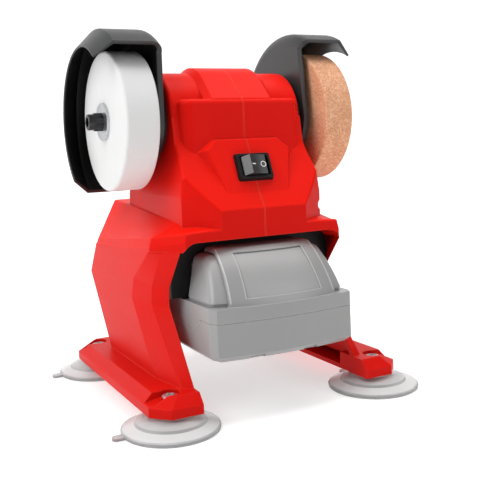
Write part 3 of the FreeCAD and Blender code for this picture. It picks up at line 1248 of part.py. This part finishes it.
def terminal_blades():
    half, tall = BLADE_THICKNESS / 2, BLADE_HEIGHT / 2
    return Part.makeCompound([box(x - half, x + half, BLADE_ROOT_Y - BLADE_LENGTH, BLADE_ROOT_Y,
                                  BLADE_MIDDLE - tall, BLADE_MIDDLE + tall)
                              for x in (-BLADE_PITCH, 0.0, BLADE_PITCH)])


half = half_housing()
nodes = {
    "left_housing": left_housing(half),
    "right_housing": right_housing(half),
    "housing_screws": housing_screws(),
    "left_guard": other_side(guard(GUARD_TILT_LEFT)),
    "right_guard": guard(GUARD_TILT_RIGHT),
    "guard_screws": both_sides(guard_screws()),
    "spindle_shaft": spindle_shaft(),
    "left_wheel": other_side(wheel(WHITE_EDGE_ROUND)),
    "right_wheel": wheel(TAN_EDGE_ROUND),
    "wheel_flanges": both_sides(inner_flange()),
    "wheel_washers": both_sides(wheel_washer()),
    "clamp_screws": both_sides(clamp_screw()),
    "rotor_core": rotor_core(),
    "rotor_winding": rotor_winding(),
    "commutator": commutator(),
    "motor_can": motor_can(),
    "motor_magnets": motor_magnets(),
    "motor_end_plate": motor_end_plate(),
    "carbon_brushes": carbon_brushes(),
    "spindle_bearings": both_sides(bearing()),
    "switch_body": switch_body(),
    "switch_tabs": switch_tabs(),
    "rocker": rocker(),
    "battery_dock": battery_dock(),
    "terminal_block": terminal_block(),
    "terminal_blades": terminal_blades(),
    "battery_lower_case": battery_lower_case(),
    "battery_upper_case": battery_upper_case(),
    "battery_cells": battery_cells(),
    "cell_links": cell_links(),
    "case_screws": case_screws(),
    "left_release_button": other_side(release_button()),
    "right_release_button": release_button(),
    "cup_front_left": suction_cup(*CUP_PLACES[0]),
    "cup_front_right": suction_cup(*CUP_PLACES[1]),
    "cup_rear_left": suction_cup(*CUP_PLACES[2]),
    "cup_rear_right": suction_cup(*CUP_PLACES[3]),
    "cup_screws": cup_screws(),
}

os.makedirs("parts", exist_ok=True)
for name, shape in nodes.items():
    shape.exportStep("parts/" + name + ".step")
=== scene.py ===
import bmesh
import bpy
import json
import math
from mathutils import Matrix, Vector, noise


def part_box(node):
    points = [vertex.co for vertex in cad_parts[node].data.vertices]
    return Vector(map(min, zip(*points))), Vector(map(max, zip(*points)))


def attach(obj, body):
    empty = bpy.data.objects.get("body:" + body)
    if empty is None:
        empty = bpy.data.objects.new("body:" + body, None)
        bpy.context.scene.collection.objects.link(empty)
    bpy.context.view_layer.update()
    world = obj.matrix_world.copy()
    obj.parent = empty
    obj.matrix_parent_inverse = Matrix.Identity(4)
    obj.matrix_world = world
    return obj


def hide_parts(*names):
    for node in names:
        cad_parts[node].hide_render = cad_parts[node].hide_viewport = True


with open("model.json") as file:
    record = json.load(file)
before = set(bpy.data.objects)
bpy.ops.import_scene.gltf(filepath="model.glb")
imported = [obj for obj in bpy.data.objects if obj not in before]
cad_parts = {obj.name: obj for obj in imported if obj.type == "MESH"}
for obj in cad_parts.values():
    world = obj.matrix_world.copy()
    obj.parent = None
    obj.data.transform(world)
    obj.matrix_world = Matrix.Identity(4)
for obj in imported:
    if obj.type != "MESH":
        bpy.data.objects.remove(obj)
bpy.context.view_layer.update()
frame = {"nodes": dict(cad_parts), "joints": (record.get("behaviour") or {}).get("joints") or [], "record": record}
nodes = frame["nodes"]
joints = {joint["name"]: joint for joint in frame["joints"]}

# Heights on the solids, in metres, that finishes and added pieces go by
AXLE_HEIGHT = joints["spindle_spin"]["pos_m"][2]
PACK_DECK = 0.0575


class Field:
    """A value that changes over a surface. Arithmetic on it adds Math nodes."""

    def __init__(self, tree, socket=None):
        self.tree, self.socket = tree, socket

    def node(self, kind, settings=(), inputs=(), output=0):
        """Adds a node: its settings first, then the values or links of its sockets."""
        made = self.tree.nodes.new(kind)
        for key, value in dict(settings).items():
            if key == "stops":
                ramp = made.color_ramp.elements
                while len(ramp) < len(value):
                    ramp.new(0.5)
                for element, (place, colour) in zip(ramp, value):
                    element.position, element.color = place, colour
            else:
                setattr(made, key, value)
        for key, value in dict(inputs).items():
            if isinstance(value, Field):
                self.tree.links.new(value.socket, made.inputs[key])
            else:
                made.inputs[key].default_value = value
        return Field(self.tree, made.outputs[output])

    def math(self, operation, first, second=0.0):
        return self.node("ShaderNodeMath", {"operation": operation}, {0: first, 1: second})

    def __add__(self, other):
        return self.math("ADD", self, other)

    def __sub__(self, other):
        return self.math("SUBTRACT", self, other)

    def __rsub__(self, other):
        return self.math("SUBTRACT", other, self)

    def __mul__(self, other):
        return self.math("MULTIPLY", self, other)

    def __gt__(self, other):
        return self.math("GREATER_THAN", self, other)

    def __lt__(self, other):
        return self.math("LESS_THAN", self, other)

    def __abs__(self):
        return self.math("ABSOLUTE", self)

    __radd__, __rmul__ = __add__, __mul__

    def at_least(self, other):
        return self.math("MAXIMUM", self, other)

    def at_most(self, other):
        return self.math("MINIMUM", self, other)

    def within(self, low, high):
        """1 where the value lies between low and high, and 0 elsewhere."""
        return (self > low) * (self < high)


def grey(tone):
    return (tone, tone, tone)


def rgba(colour, gain=1.0):
    """Colour made lighter or darker by a gain, as a socket takes it."""
    return tuple(min(1.0, c * gain) for c in colour) + (1.0,)


class Finish:
    """One material: where a point is on the piece, textures there, and the surface they make."""

    def __init__(self, name):
        self.material = bpy.data.materials.new(name)
        self.material.use_nodes = True
        self.tree = self.material.node_tree
        self.shader = self.tree.nodes["Principled BSDF"]
        self.start = Field(self.tree)
        self.place = self.start.node("ShaderNodeTexCoord", output="Object")

    def vector(self, operation, *operands, output=0):
        """Vector Math on places, directions or triples of numbers."""
        return self.start.node("ShaderNodeVectorMath", {"operation": operation},
                               dict(enumerate(operands)), output)

    def stretched(self, x, y, z):
        return self.vector("MULTIPLY", self.place, (x, y, z))

    def axis(self, name, vector=None):
        """X, Y or Z of a vector, or of the place where none is given."""
        return self.start.node("ShaderNodeSeparateXYZ", {}, {"Vector": vector or self.place}, name)

    def facing(self):
        """Direction in which the surface faces."""
        return self.start.node("ShaderNodeNewGeometry", output="Normal")

    def rounded(self, radius):
        """Direction in which the surface would face with its edges rounded."""
        return self.start.node("ShaderNodeBevel", {"samples": 6}, {"Radius": radius})

    def edges(self, width):
        """1 along the edges of the piece, falling to 0 a width away from them."""
        gain = 3.5
        turn = self.vector("DOT_PRODUCT", self.facing(), self.rounded(width), output="Value")
        return ((1 - turn) * gain).at_most(1.0)

    def noise(self, size, detail=2.0, rough=0.5, place=None):
        return self.start.node("ShaderNodeTexNoise", {}, {
            "Vector": place or self.place, "Scale": 1.0 / size, "Detail": detail, "Roughness": rough})

    def cells(self, size, output, feature="F1"):
        return self.start.node("ShaderNodeTexVoronoi", {"feature": feature}, {
            "Vector": self.place, "Scale": 1.0 / size}, output)

    def ramp(self, value, stops):
        return self.start.node("ShaderNodeValToRGB", {"stops": stops}, {"Fac": value})

    def mix(self, factor, first, second):
        """Blend of two colours, whose sockets on the Mix node are 6 and 7."""
        return self.start.node("ShaderNodeMix", {"data_type": "RGBA"},
                               {"Factor": factor, 6: first, 7: second}, 2)

    def relief(self, height, depth, edge=0.0, strength=0.5):
        """Fine relief of that depth, over edges rounded by a radius where one is given."""
        inputs = {"Height": height, "Distance": depth, "Strength": strength}
        if edge:
            inputs["Normal"] = self.rounded(edge)
        return self.start.node("ShaderNodeBump", {}, inputs)

    def surface(self, **sockets):
        """Sets the surface; underscores in a name stand for spaces."""
        for name, value in sockets.items():
            socket = self.shader.inputs[name.replace("_", " ")]
            if isinstance(value, Field):
                self.tree.links.new(value.socket, socket)
            else:
                socket.default_value = value
        return self.material


def moulded_plastic(name, colour, roughness, grain=0.0007, depth=0.00002, edge=0.0005, edge_wear_and_highlight=None,
                    marks_and_painted_light=None, **extra):
    """Moulded plastic: fine tool texture, slow flow mottling, faint handling marks, and edges lightened partly by
    wear and partly as painted highlight.

    Grain, depth and edge are the tool texture's size and relief and the radius of the edges. The edge colour is
    that of edges lightened partly by wear and partly as painted highlight, and the marks function adds a piece's
    own colours and its painted light and shade.
    """
    make = Finish(name)
    flow = make.noise(size=0.06, detail=3.0)
    handled = make.noise(size=0.012, detail=4.0, rough=0.6, place=make.stretched(1.0, 0.35, 2.2))
    tool = make.noise(size=grain, detail=1.0)
    base = make.mix(flow, rgba(colour, 0.90), rgba(colour, 1.05))
    if marks_and_painted_light:
        base = marks_and_painted_light(make, base)
    # Edges lightened partly as wear and partly as painted highlight, where rounded edges would catch the light.
    if edge_wear_and_highlight:
        edge_wear_and_highlight_mask = make.edges(width=edge * 1.4) * (0.45 + handled * 0.4)
        base = make.mix(edge_wear_and_highlight_mask, base, rgba(edge_wear_and_highlight))
    rough = roughness + (handled - 0.5) * 0.14 + (tool - 0.5) * 0.06
    return make.surface(Base_Color=base, Roughness=rough, Normal=make.relief(tool, depth, edge), **extra)


def housing_painted_light(make, base):
    """Upper faces of the housing painted lighter above its feet, as painted light from above, and a pale painted
    highlight line where its halves meet.
    """
    painted_light_red, painted_seam_highlight_red = (0.86, 0.0105, 0.0042), (0.85, 0.055, 0.035)
    lighter_from, lighter_span, lean_gain = 0.04, 0.05, 1.4
    seam_half_width, seam_highlight_strength = 0.0005, 0.5
    # Painted light: faces turned upwards, above the feet, get a lighter red.
    upper = (make.axis("Z", make.facing()) * lean_gain).at_least(0.0).at_most(1.0)
    high = ((make.axis("Z") - lighter_from) * (1 / lighter_span)).at_least(0.0).at_most(1.0)
    base = make.mix(upper * high, base, rgba(painted_light_red))
    # Painted highlight: a pale line along the seam between the two halves.
    seam = make.axis("X").within(-seam_half_width, seam_half_width)
    return make.mix(seam * seam_highlight_strength, base, rgba(painted_seam_highlight_red))


def label_place(make, base):
    """Paler place for a label on the front of the pack, with painted highlight lines beside it and along the
    hood's edges.
    """
    label_low, label_high, hood_low = PACK_DECK + 0.0034, PACK_DECK + 0.0242, PACK_DECK + 0.0015
    label_half_width, label_lean, hood_lean = 0.0215, 0.0721, 0.0899
    label_edge_highlight, hood_edge_highlight, highlight_strength = (0.0217, 0.0222), (0.0298, 0.0305), 0.7
    front_from = -0.045
    across, up = abs(make.axis("X")), make.axis("Z")
    front = make.axis("Y") < front_from
    label_across = across + (up - label_low) * label_lean
    hood_across = across + (up - PACK_DECK) * hood_lean
    beside_label = up.within(label_low, label_high) * front
    base = make.mix((label_across < label_half_width) * beside_label, base, rgba(grey(0.335)))
    # Painted highlights: pale lines where the label's sides and the hood's edges would catch the light.
    hood_highlight_line = hood_across.within(*hood_edge_highlight) * front * (up > hood_low)
    line = (label_across.within(*label_edge_highlight) * beside_label).at_least(hood_highlight_line)
    return make.mix(line * highlight_strength, base, rgba(grey(0.62)))


def guard_painted_shade(make, base):
    """Faces inside a guard, round the wheel and under the lip, painted near-black as painted shade."""
    inner_side, lip_start, hollow_radius = 0.0455, 0.0708, 0.0480
    across = abs(make.axis("X"))
    from_axle = make.vector("MULTIPLY_ADD", make.place, (0.0, 1.0, 1.0), (0.0, 0.0, -AXLE_HEIGHT))
    radius = make.vector("LENGTH", from_axle, output="Value")
    lip = (across - lip_start).at_least(0.0)
    # Painted shade: near-black where the guard's interior lies in shadow.
    painted_shade_mask = (across > inner_side) * (radius + lip < hollow_radius)
    return make.mix(painted_shade_mask, base, rgba((0.004, 0.004, 0.0045)))


def pressed_felt(name, colour):
    """Dense white wheel: short matted fibres over slow, faint patches."""
    make = Finish(name)
    matt = make.noise(size=0.0011, detail=5.0, rough=0.65)
    fibre = make.noise(size=0.0004, place=make.stretched(0.35, 1.0, 1.6))
    patch = make.noise(size=0.02)
    base = make.mix(matt * 0.6 + patch * 0.4, rgba(colour, 0.93), rgba(colour, 1.04))
    return make.surface(Base_Color=base, Roughness=0.82 + fibre * 0.12,
                        Normal=make.relief(matt + fibre * 0.6, depth=0.00006, edge=0.0006))


def bonded_grit(name):
    """Grinding wheel: fine cream, tan and rust grains held in a bond, with small pores."""
    grain_size, pore_size, pore_share = 0.0008, 0.0013, 0.68
    rust, tan, pale_tan = (0.54, 0.235, 0.112), (0.66, 0.310, 0.165), (0.74, 0.375, 0.212)
    cream, pore_brown = (0.88, 0.560, 0.370), (0.42, 0.18, 0.09)
    make = Finish(name)
    shade = make.start.node("ShaderNodeSeparateColor", {}, {"Color": make.cells(grain_size, "Color")})
    fine = make.noise(size=0.0009, detail=4.0, rough=0.7)
    drift = make.noise(size=0.014, detail=3.0)
    grains = make.ramp(shade * 0.40 + fine * 0.35 + drift * 0.25, [
        (0.20, rgba(rust)), (0.40, rgba(tan)), (0.58, rgba(pale_tan)), (0.80, rgba(cream))])
    gap = make.cells(grain_size, "Distance", "DISTANCE_TO_EDGE")
    pore = (make.noise(size=pore_size) > pore_share) * 0.6
    return make.surface(Base_Color=make.mix(pore * 0.4, grains, rgba(pore_brown)),
                        Roughness=0.86 - fine * 0.1,
                        Normal=make.relief(gap * 1.5 + fine * 0.5 - pore, depth=0.00008, edge=0.0004))


def worked_metal(name, colour, roughness, lines=(1.0, 1.0, 1.0), wear=0.08):
    """Metal with the fine lines of its turning or drawing, and stains that change its tone and gloss."""
    make = Finish(name)
    cut = make.noise(size=0.0004, detail=3.0, rough=0.6, place=make.stretched(*lines))
    stain = make.noise(size=0.006, detail=4.0, rough=0.6)
    base = make.mix(stain, rgba(colour, 1 - 2 * wear), rgba(colour, 1 + wear))
    rough = roughness + (stain - 0.5) * 0.16 + (cut - 0.5) * 0.12
    return make.surface(Base_Color=base, Metallic=1.0, Roughness=rough,
                        Normal=make.relief(cut, depth=0.000006, edge=0.0002))


def clear_vinyl(name):
    """Soft clear vinyl: milky where it lies flat, with painted shade making it greyer where a rim or step stands
    up and along the low rim, greyer above the step, and with flow waves.
    """
    rim_top, step_foot, level_gain = 0.0023, 0.0052, 1.6
    milky, hazy, above_step_grey = (0.97, 0.97, 0.97), (0.90, 0.91, 0.91), (0.66, 0.67, 0.67)
    painted_rim_shade, painted_wall_shade = (0.52, 0.53, 0.53), (0.46, 0.47, 0.47)
    make = Finish(name)
    wave = make.noise(size=0.007)
    haze = make.noise(size=0.03)
    level = make.axis("Z", make.facing())
    flat = (level * level * level_gain).at_most(1.0)
    tint = make.mix(haze, rgba(hazy), rgba(milky))
    # Greyer above the step.
    above_step = (make.axis("Z") > step_foot) * (0.45 + wave * 0.6)
    tint = make.mix(above_step, tint, rgba(above_step_grey))
    # Painted shade: a greyer band along the low rim.
    rim = (make.axis("Z") < rim_top) * (0.25 + wave * 0.9)
    tint = make.mix(rim, tint, rgba(painted_rim_shade))
    # Painted shade: faces that stand up take a darker grey.
    return make.surface(Base_Color=make.mix(flat, rgba(painted_wall_shade), tint), Roughness=0.10 + haze * 0.12,
                        IOR=1.2, Transmission_Weight=0.55,
                        Normal=make.relief(wave, depth=0.00005, strength=0.3))


def wound_copper(name):
    """Enamelled wire lying side by side along the motor."""
    shadow, bright = (0.42, 0.12, 0.04), (0.86, 0.40, 0.17)
    make = Finish(name)
    strand = make.start.node("ShaderNodeTexWave", {"wave_type": "BANDS", "bands_direction": "Y"}, {
        "Vector": make.place, "Scale": 260.0, "Distortion": 1.5, "Detail": 1.0, "Detail Scale": 2.0}, "Fac")
    tone = make.noise(size=0.003, detail=3.0)
    return make.surface(Base_Color=make.mix(tone * strand, rgba(shadow), rgba(bright)), Metallic=0.85,
                        Roughness=0.32 + strand * 0.15, Coat_Weight=0.4,
                        Normal=make.relief(strand, depth=0.0001, strength=0.7))


def shrink_film(name, colour):
    """Thin film shrunk round the cells, with fine creases."""
    make = Finish(name)
    crease = make.noise(size=0.0025, detail=3.0, rough=0.6, place=make.stretched(0.3, 1.5, 1.5))
    return make.surface(Base_Color=make.mix(crease, rgba(colour, 0.8), rgba(colour, 1.15)),
                        Roughness=0.28 + crease * 0.15, Normal=make.relief(crease, depth=0.00006))


def sintered(name, colour, roughness):
    """Pressed and fired powder: dull, fine and slightly speckled."""
    make = Finish(name)
    speck = make.noise(size=0.0005, detail=4.0, rough=0.7)
    cloud = make.noise(size=0.008)
    base = make.mix(speck * 0.7 + cloud * 0.3, rgba(colour, 0.7), rgba(colour, 1.35))
    return make.surface(Base_Color=base, Roughness=roughness + (cloud - 0.5) * 0.1,
                        Normal=make.relief(speck, depth=0.00003, edge=0.0003))


def white_print():
    """Printed white, a little worn."""
    make = Finish("white_print")
    worn = make.noise(size=0.0006, detail=3.0)
    base = make.mix(worn, rgba((0.78, 0.78, 0.77)), rgba((0.90, 0.90, 0.89)))
    return make.surface(Base_Color=base, Roughness=0.45 + worn * 0.2)


finishes = {
    # Edge colours below are partly wear and partly painted highlight; the marks functions add painted light and
    # shade.
    "red_shell": moulded_plastic("red_moulded_shell", (0.69, 0.0065, 0.0032), 0.42, edge=0.0007,
                                 edge_wear_and_highlight=(0.92, 0.055, 0.028), marks_and_painted_light=housing_painted_light, Specular_IOR_Level=0.07),
    "guard_plastic": moulded_plastic("charcoal_guard", (0.026, 0.0265, 0.0275), 0.40, grain=0.0009,
                                     depth=0.00003, edge_wear_and_highlight=(0.075, 0.076, 0.078), marks_and_painted_light=guard_painted_shade),
    "white_wheel": pressed_felt("white_felt", (0.715, 0.72, 0.715)),
    "tan_wheel": bonded_grit("tan_grit"),
    "black_plastic": moulded_plastic("black_moulding", (0.0055, 0.0055, 0.006), 0.44,
                                     edge_wear_and_highlight=(0.030, 0.030, 0.031), Specular_IOR_Level=0.2),
    "rocker_plastic": moulded_plastic("rocker_black", (0.014, 0.014, 0.015), 0.36, grain=0.0005,
                                      depth=0.00001, edge=0.0003, Specular_IOR_Level=0.9),
    "pack_grey": moulded_plastic("pack_grey_moulding", grey(0.305), 0.32, grain=0.0008, edge=0.0006,
                                 edge_wear_and_highlight=grey(0.55), marks_and_painted_light=label_place),
    "button_grey": moulded_plastic("button_grey_moulding", grey(0.33), 0.30, grain=0.0006, depth=0.00001,
                                   edge=0.0),
    "clear_vinyl": clear_vinyl("clear_cup_vinyl"),
    "steel": worked_metal("turned_steel", (0.62, 0.62, 0.63), 0.28, lines=(4.0, 0.3, 0.3)),
    "zinc_steel": worked_metal("bright_zinc", (0.62, 0.63, 0.64), 0.34, wear=0.05),
    "black_steel": worked_metal("black_oxide_steel", (0.055, 0.055, 0.058), 0.38),
    "motor_steel": worked_metal("plated_motor_steel", (0.50, 0.51, 0.53), 0.34, lines=(3.0, 0.4, 0.4)),
    "magnet": sintered("ferrite_magnet", (0.055, 0.055, 0.06), 0.62),
    "copper": wound_copper("enamelled_copper"),
    "brass": worked_metal("plain_brass", (0.80, 0.58, 0.26), 0.28),
    "carbon": sintered("pressed_graphite", (0.035, 0.035, 0.037), 0.45),
    "cell_wrap": shrink_film("blue_cell_film", (0.06, 0.25, 0.50)),
}

for part in frame["record"]["subparts"]:
    slots = nodes[part["node"]].data.materials
    slots.clear()
    slots.append(finishes[part["material_slot"]])


def skin(mesh, rows, closed=True):
    """Adds faces from each row of corners to the next, going all the way round where rows are rings."""
    faces = []
    for row, after in zip(rows, rows[1:]):
        for here in range(len(row) if closed else len(row) - 1):
            beside = (here + 1) % len(row)
            faces.append(mesh.faces.new((row[here], after[here], after[beside], row[beside])))
    return faces


def fan(mesh, middle, ring):
    """Adds faces that close a ring of corners to a corner in its middle."""
    for here, beside in zip(ring, ring[1:] + ring[:1]):
        mesh.faces.new((middle, here, beside))


def placed(name, mesh, material):
    """Puts a finished mesh into the scene as an object with one material."""
    data = bpy.data.meshes.new(name)
    mesh.to_mesh(data)
    mesh.free()
    data.materials.append(material)
    piece = bpy.data.objects.new(name, data)
    bpy.context.scene.collection.objects.link(piece)
    return piece


def grit_wheel():
    """Pitted grinding wheel, turned as one ring: bore, two faces, and a rim with just-broken corners."""
    low, high = (Vector(corner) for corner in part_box("right_wheel"))
    inner, outer, rim = low.x, high.x, (high.z - low.z) / 2
    axle = Vector((0.0, 0.0, (low.z + high.z) / 2))
    bore, smooth_hub, broken = 0.005, 0.012, 0.0011
    pit_depth, pits_per_metre = 0.00008, 700.0
    face_steps, corner_steps, rim_steps, turns = 24, 6, 16, 180

    face = [bore + (rim - broken - bore) * i / face_steps for i in range(face_steps + 1)]
    bends = [math.pi / 2 * i / corner_steps for i in range(corner_steps + 1)]
    corner = [(broken * (1 - math.cos(bend)), rim - broken * (1 - math.sin(bend))) for bend in bends]
    tread = outer - inner - 2 * broken
    profile = [(inner, radius) for radius in face]
    profile += [(inner + step, radius) for step, radius in corner[1:]]
    profile += [(inner + broken + tread * i / rim_steps, rim) for i in range(1, rim_steps)]
    profile += [(outer - step, radius) for step, radius in reversed(corner)]
    profile += [(outer, radius) for radius in reversed(face[:-1])]

    def pitted(x, radius, way):
        spot = axle + Vector((x, 0.0, 0.0)) + way * radius
        if radius <= smooth_hub:
            return spot
        side = 1.0 if x > (inner + outer) / 2 else -1.0
        outward = way if inner + broken < x < outer - broken else Vector((side, 0.0, 0.0))
        return spot - outward * pit_depth * abs(noise.noise(spot * pits_per_metre))

    mesh = bmesh.new()
    rings = []
    for turn in (math.tau * i / turns for i in range(turns)):
        way = Vector((0.0, math.cos(turn), math.sin(turn)))
        rings.append([mesh.verts.new(pitted(x, radius, way)) for x, radius in profile])
    for made in skin(mesh, rings + rings[:1]):
        made.smooth = True
    bmesh.ops.recalc_face_normals(mesh, faces=mesh.faces)
    wheel = placed("grit_wheel", mesh, finishes["tan_wheel"])
    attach(wheel, "spindle")
    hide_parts("right_wheel")


def foot_screws():
    """Four pan-head screws with a cross recess, low in the pockets of the feet."""
    low, high = (Vector(corner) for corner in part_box("cup_screws"))
    solid_head, solid_head_height = 0.0044, 0.0022
    head, shank, point, point_length = 0.0039, 0.0020, 0.0014, 0.0004
    seat, tip = high.z - solid_head_height, low.z
    crown, dome = 0.0016, 0.0006
    arm_half_width, arm_reach, recess_depth = 0.0006, 0.0023, 0.0009
    steps, turns = 13, 48
    twists = (0.35, 1.1, 0.7, 0.2)
    angles = [math.tau * i / turns for i in range(turns)]

    def head_height(radius, angle):
        aside, along = sorted((abs(radius * math.cos(angle)), abs(radius * math.sin(angle))))
        sunk = recess_depth if aside < arm_half_width and along < arm_reach else 0.0
        return seat + crown - dome * (radius / head) ** 2 - sunk

    radii = [head * i / steps for i in range(1, steps + 1)]
    rings = [[(radius, head_height(radius, angle)) for angle in angles] for radius in radii]
    shaft = ((head, seat), (shank, seat), (shank, tip + point_length), (point, tip))
    rings += [[spot] * turns for spot in shaft]
    places = [(x, y) for x in (low.x + solid_head, high.x - solid_head)
              for y in (low.y + solid_head, high.y - solid_head)]

    mesh = bmesh.new()
    for (x, y), twist in zip(places, twists):
        grid = []
        for ring in rings:
            spots = [(x + radius * math.cos(twist + angle), y + radius * math.sin(twist + angle), z)
                     for angle, (radius, z) in zip(angles, ring)]
            grid.append([mesh.verts.new(spot) for spot in spots])
        skin(mesh, grid)
        fan(mesh, mesh.verts.new((x, y, seat + crown - recess_depth)), grid[0])
        fan(mesh, mesh.verts.new((x, y, tip)), grid[-1])
    bmesh.ops.recalc_face_normals(mesh, faces=mesh.faces)
    screws = placed("foot_screws", mesh, finishes["zinc_steel"])
    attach(screws, "base")
    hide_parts("cup_screws")


def turns_left(first, second, third):
    """Whether a path through three points in plan turns to the left at the second."""
    return ((second[0] - first[0]) * (third[1] - first[1])
            - (second[1] - first[1]) * (third[0] - first[0])) > 0


def outline(points):
    """Convex outline of points in plan, counter-clockwise."""
    halves = []
    for run in (sorted(points), sorted(points, reverse=True)):
        chain = []
        for point in run:
            while len(chain) > 1 and not turns_left(chain[-2], chain[-1], point):
                chain.pop()
            chain.append(point)
        halves += chain[:-1]
    return halves


def button_land(name, button):
    """Low land on the pack's deck, which a release button slides over."""
    gap, inset, bevel = 0.0001, 0.0006, 0.0003
    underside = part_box(button)[0][2]
    top = underside - gap
    foot = [corner.co for corner in nodes[button].data.vertices if corner.co.z < underside + bevel]
    edge = outline({(round(co.x, 6), round(co.y, 6)) for co in foot})
    middle = Vector([sum(values) / len(edge) for values in zip(*edge)])
    mesh = bmesh.new()
    rows = []
    for height, back in ((PACK_DECK, inset), (top - bevel, inset), (top, inset + bevel)):
        aways = [Vector(point) - middle for point in edge]
        spots = [middle + away * (1 - back / away.length) for away in aways]
        rows.append([mesh.verts.new((spot.x, spot.y, height)) for spot in spots])
    skin(mesh, rows)
    mesh.faces.new(rows[0])
    mesh.faces.new(rows[-1])
    bmesh.ops.recalc_face_normals(mesh, faces=mesh.faces)
    land = placed(name, mesh, finishes["pack_grey"])
    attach(land, "battery_pack")


grit_wheel()
foot_screws()
button_land("left_button_land", "left_release_button")
button_land("right_button_land", "right_release_button")

# Switch marks, printed on the rocker's dished face, which leans half its range to one side at rest
TILT = joints["rocker_tilt"]
PIVOT = Vector(TILT["pos_m"])
PANEL_UP = -Vector(TILT["axis"])
PANEL_OUT = Vector((0.0, -PANEL_UP.z, PANEL_UP.y))
PANEL_ACROSS = Vector((1.0, 0.0, 0.0))
LEAN = math.radians(TILT["range_deg"][1] / 2)
FACE_ACROSS = PANEL_ACROSS * math.cos(LEAN) - PANEL_OUT * math.sin(LEAN)
FACE_OUT = PANEL_OUT * math.cos(LEAN) + PANEL_ACROSS * math.sin(LEAN)
DISH_LOW, DISH_RADIUS, INK = 0.00530, 0.02436, 0.00003
MARK_OFFSET = 0.0031
RING_RADII, RING_STEPS = (0.00125, 0.0014, 0.00165), 40
BAR_HALF_LENGTH, BAR_HALF_WIDTH, BAR_STEPS = 0.0012, 0.00028, 10
BAR_END_TAPER, BAR_END_POWER = 0.3, 6


def on_rocker(across, up):
    """Point on the dished face, across and up from its middle."""
    height = DISH_LOW + INK + across * across / (2 * DISH_RADIUS)
    return PIVOT + FACE_ACROSS * across + PANEL_UP * up + FACE_OUT * height


def printed_mark(name, rows):
    """Thin printed figure between rows of points across its stroke."""
    mesh = bmesh.new()
    skin(mesh, [[mesh.verts.new(on_rocker(*point)) for point in row] for row in rows], closed=False)
    bmesh.ops.remove_doubles(mesh, verts=mesh.verts, dist=1e-7)
    bmesh.ops.recalc_face_normals(mesh, faces=mesh.faces)
    piece = placed(name, mesh, white_print())
    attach(piece, "switch_rocker")


def ring_row(turn):
    return [(MARK_OFFSET + radius * math.cos(turn), radius * math.sin(turn)) for radius in RING_RADII]


def bar_row(along):
    narrowing = 1 - BAR_END_TAPER * (abs(along) / BAR_HALF_LENGTH) ** BAR_END_POWER
    return [(along - MARK_OFFSET, side * narrowing) for side in (-BAR_HALF_WIDTH, 0.0, BAR_HALF_WIDTH)]


printed_mark("off_ring", [ring_row(math.tau * i / RING_STEPS) for i in range(RING_STEPS + 1)])
printed_mark("on_bar", [bar_row(BAR_HALF_LENGTH * (2 * i / BAR_STEPS - 1)) for i in range(BAR_STEPS + 1)])


# Studio: pale floor swept up behind, soft lights, and the camera
def studio_floor():
    """Pale paper that curves up behind the grinder and glows more the farther it is from it."""
    front, bend_start, bend, top = -2.0, 0.9, 0.6, 2.4
    half_width, drop, bend_steps = 3.0, 0.0001, 12
    bends = [math.pi / 2 * i / bend_steps for i in range(1, bend_steps + 1)]
    profile = [(front, 0.0), (bend_start, 0.0)]
    profile += [(bend_start + bend * math.sin(turn), bend - bend * math.cos(turn)) for turn in bends]
    profile += [(bend_start + bend, top)]
    mesh = bmesh.new()
    rows = [[mesh.verts.new((x, y, z - drop)) for x in (half_width, -half_width)] for y, z in profile]
    for made in skin(mesh, rows, closed=False):
        made.smooth = True
    make = Finish("pale_paper")
    distance = make.vector("LENGTH", make.place, output="Value")
    glow = make.ramp(distance * 0.5, [(0.05, rgba(grey(0.72))), (0.34, rgba(grey(1.0)))])
    paper = make.surface(Base_Color=rgba(grey(0.62)), Roughness=0.9, Specular_IOR_Level=0.2,
                         Emission_Color=glow, Emission_Strength=0.75)
    floor = placed("studio_floor", mesh, paper)


def soft_light(name, place, aim, size, power):
    """Rectangular light of that width and height, turned to what it is aimed at."""
    lamp = bpy.data.lights.new(name, "AREA")
    lamp.shape, lamp.energy = "RECTANGLE", power
    lamp.size, lamp.size_y = size
    light = bpy.data.objects.new(name, lamp)
    light.location = place
    light.rotation_euler = (Vector(aim) - Vector(place)).to_track_quat("-Z", "Y").to_euler()
    bpy.context.scene.collection.objects.link(light)


def studio_air():
    """Faint white light from all round."""
    world = bpy.data.worlds.new("studio_air")
    world.use_nodes = True
    air = world.node_tree.nodes["Background"].inputs
    air["Color"].default_value = rgba(grey(1.0))
    air["Strength"].default_value = 0.08
    bpy.context.scene.world = world


def photo_camera():
    """Camera at the front left, a little above and rolled, with its lens shifted as in the photo."""
    yaw, pitch, roll = (math.radians(angle) for angle in (-25.91, 4.07, -2.46))
    aim, distance = (0.00005, -0.00003, 0.10499), 0.44002
    lens = bpy.data.cameras.new("photo_camera")
    lens.sensor_width, lens.lens = 36.0, 56.67
    lens.shift_x, lens.shift_y = 0.0393, -0.0829
    lens.clip_start = 0.01
    camera = bpy.data.objects.new("photo_camera", lens)
    turned = (Matrix.Rotation(yaw, 4, "Z") @ Matrix.Rotation(math.pi / 2 - pitch, 4, "X")
              @ Matrix.Rotation(roll, 4, "Z"))
    camera.matrix_world = Matrix.Translation(aim) @ turned @ Matrix.Translation((0.0, 0.0, distance))
    bpy.context.scene.collection.objects.link(camera)
    bpy.context.scene.camera = camera


MIDDLE = (0.0, 0.0, 0.1)
studio_floor()
soft_light("left_window", (-0.91, -0.16, 0.87), MIDDLE, (0.7, 1.0), 10.0)
soft_light("front_fill", (0.61, -0.93, 0.55), MIDDLE, (0.7, 0.7), 3.0)
soft_light("right_bank", (0.60, 0.00, 1.14), MIDDLE, (0.7, 0.7), 4.4)
soft_light("top_bank", (0.00, -0.04, 1.30), MIDDLE, (0.6, 0.6), 6.0)
studio_air()
photo_camera()
bpy.context.scene.view_settings.view_transform = "Standard"
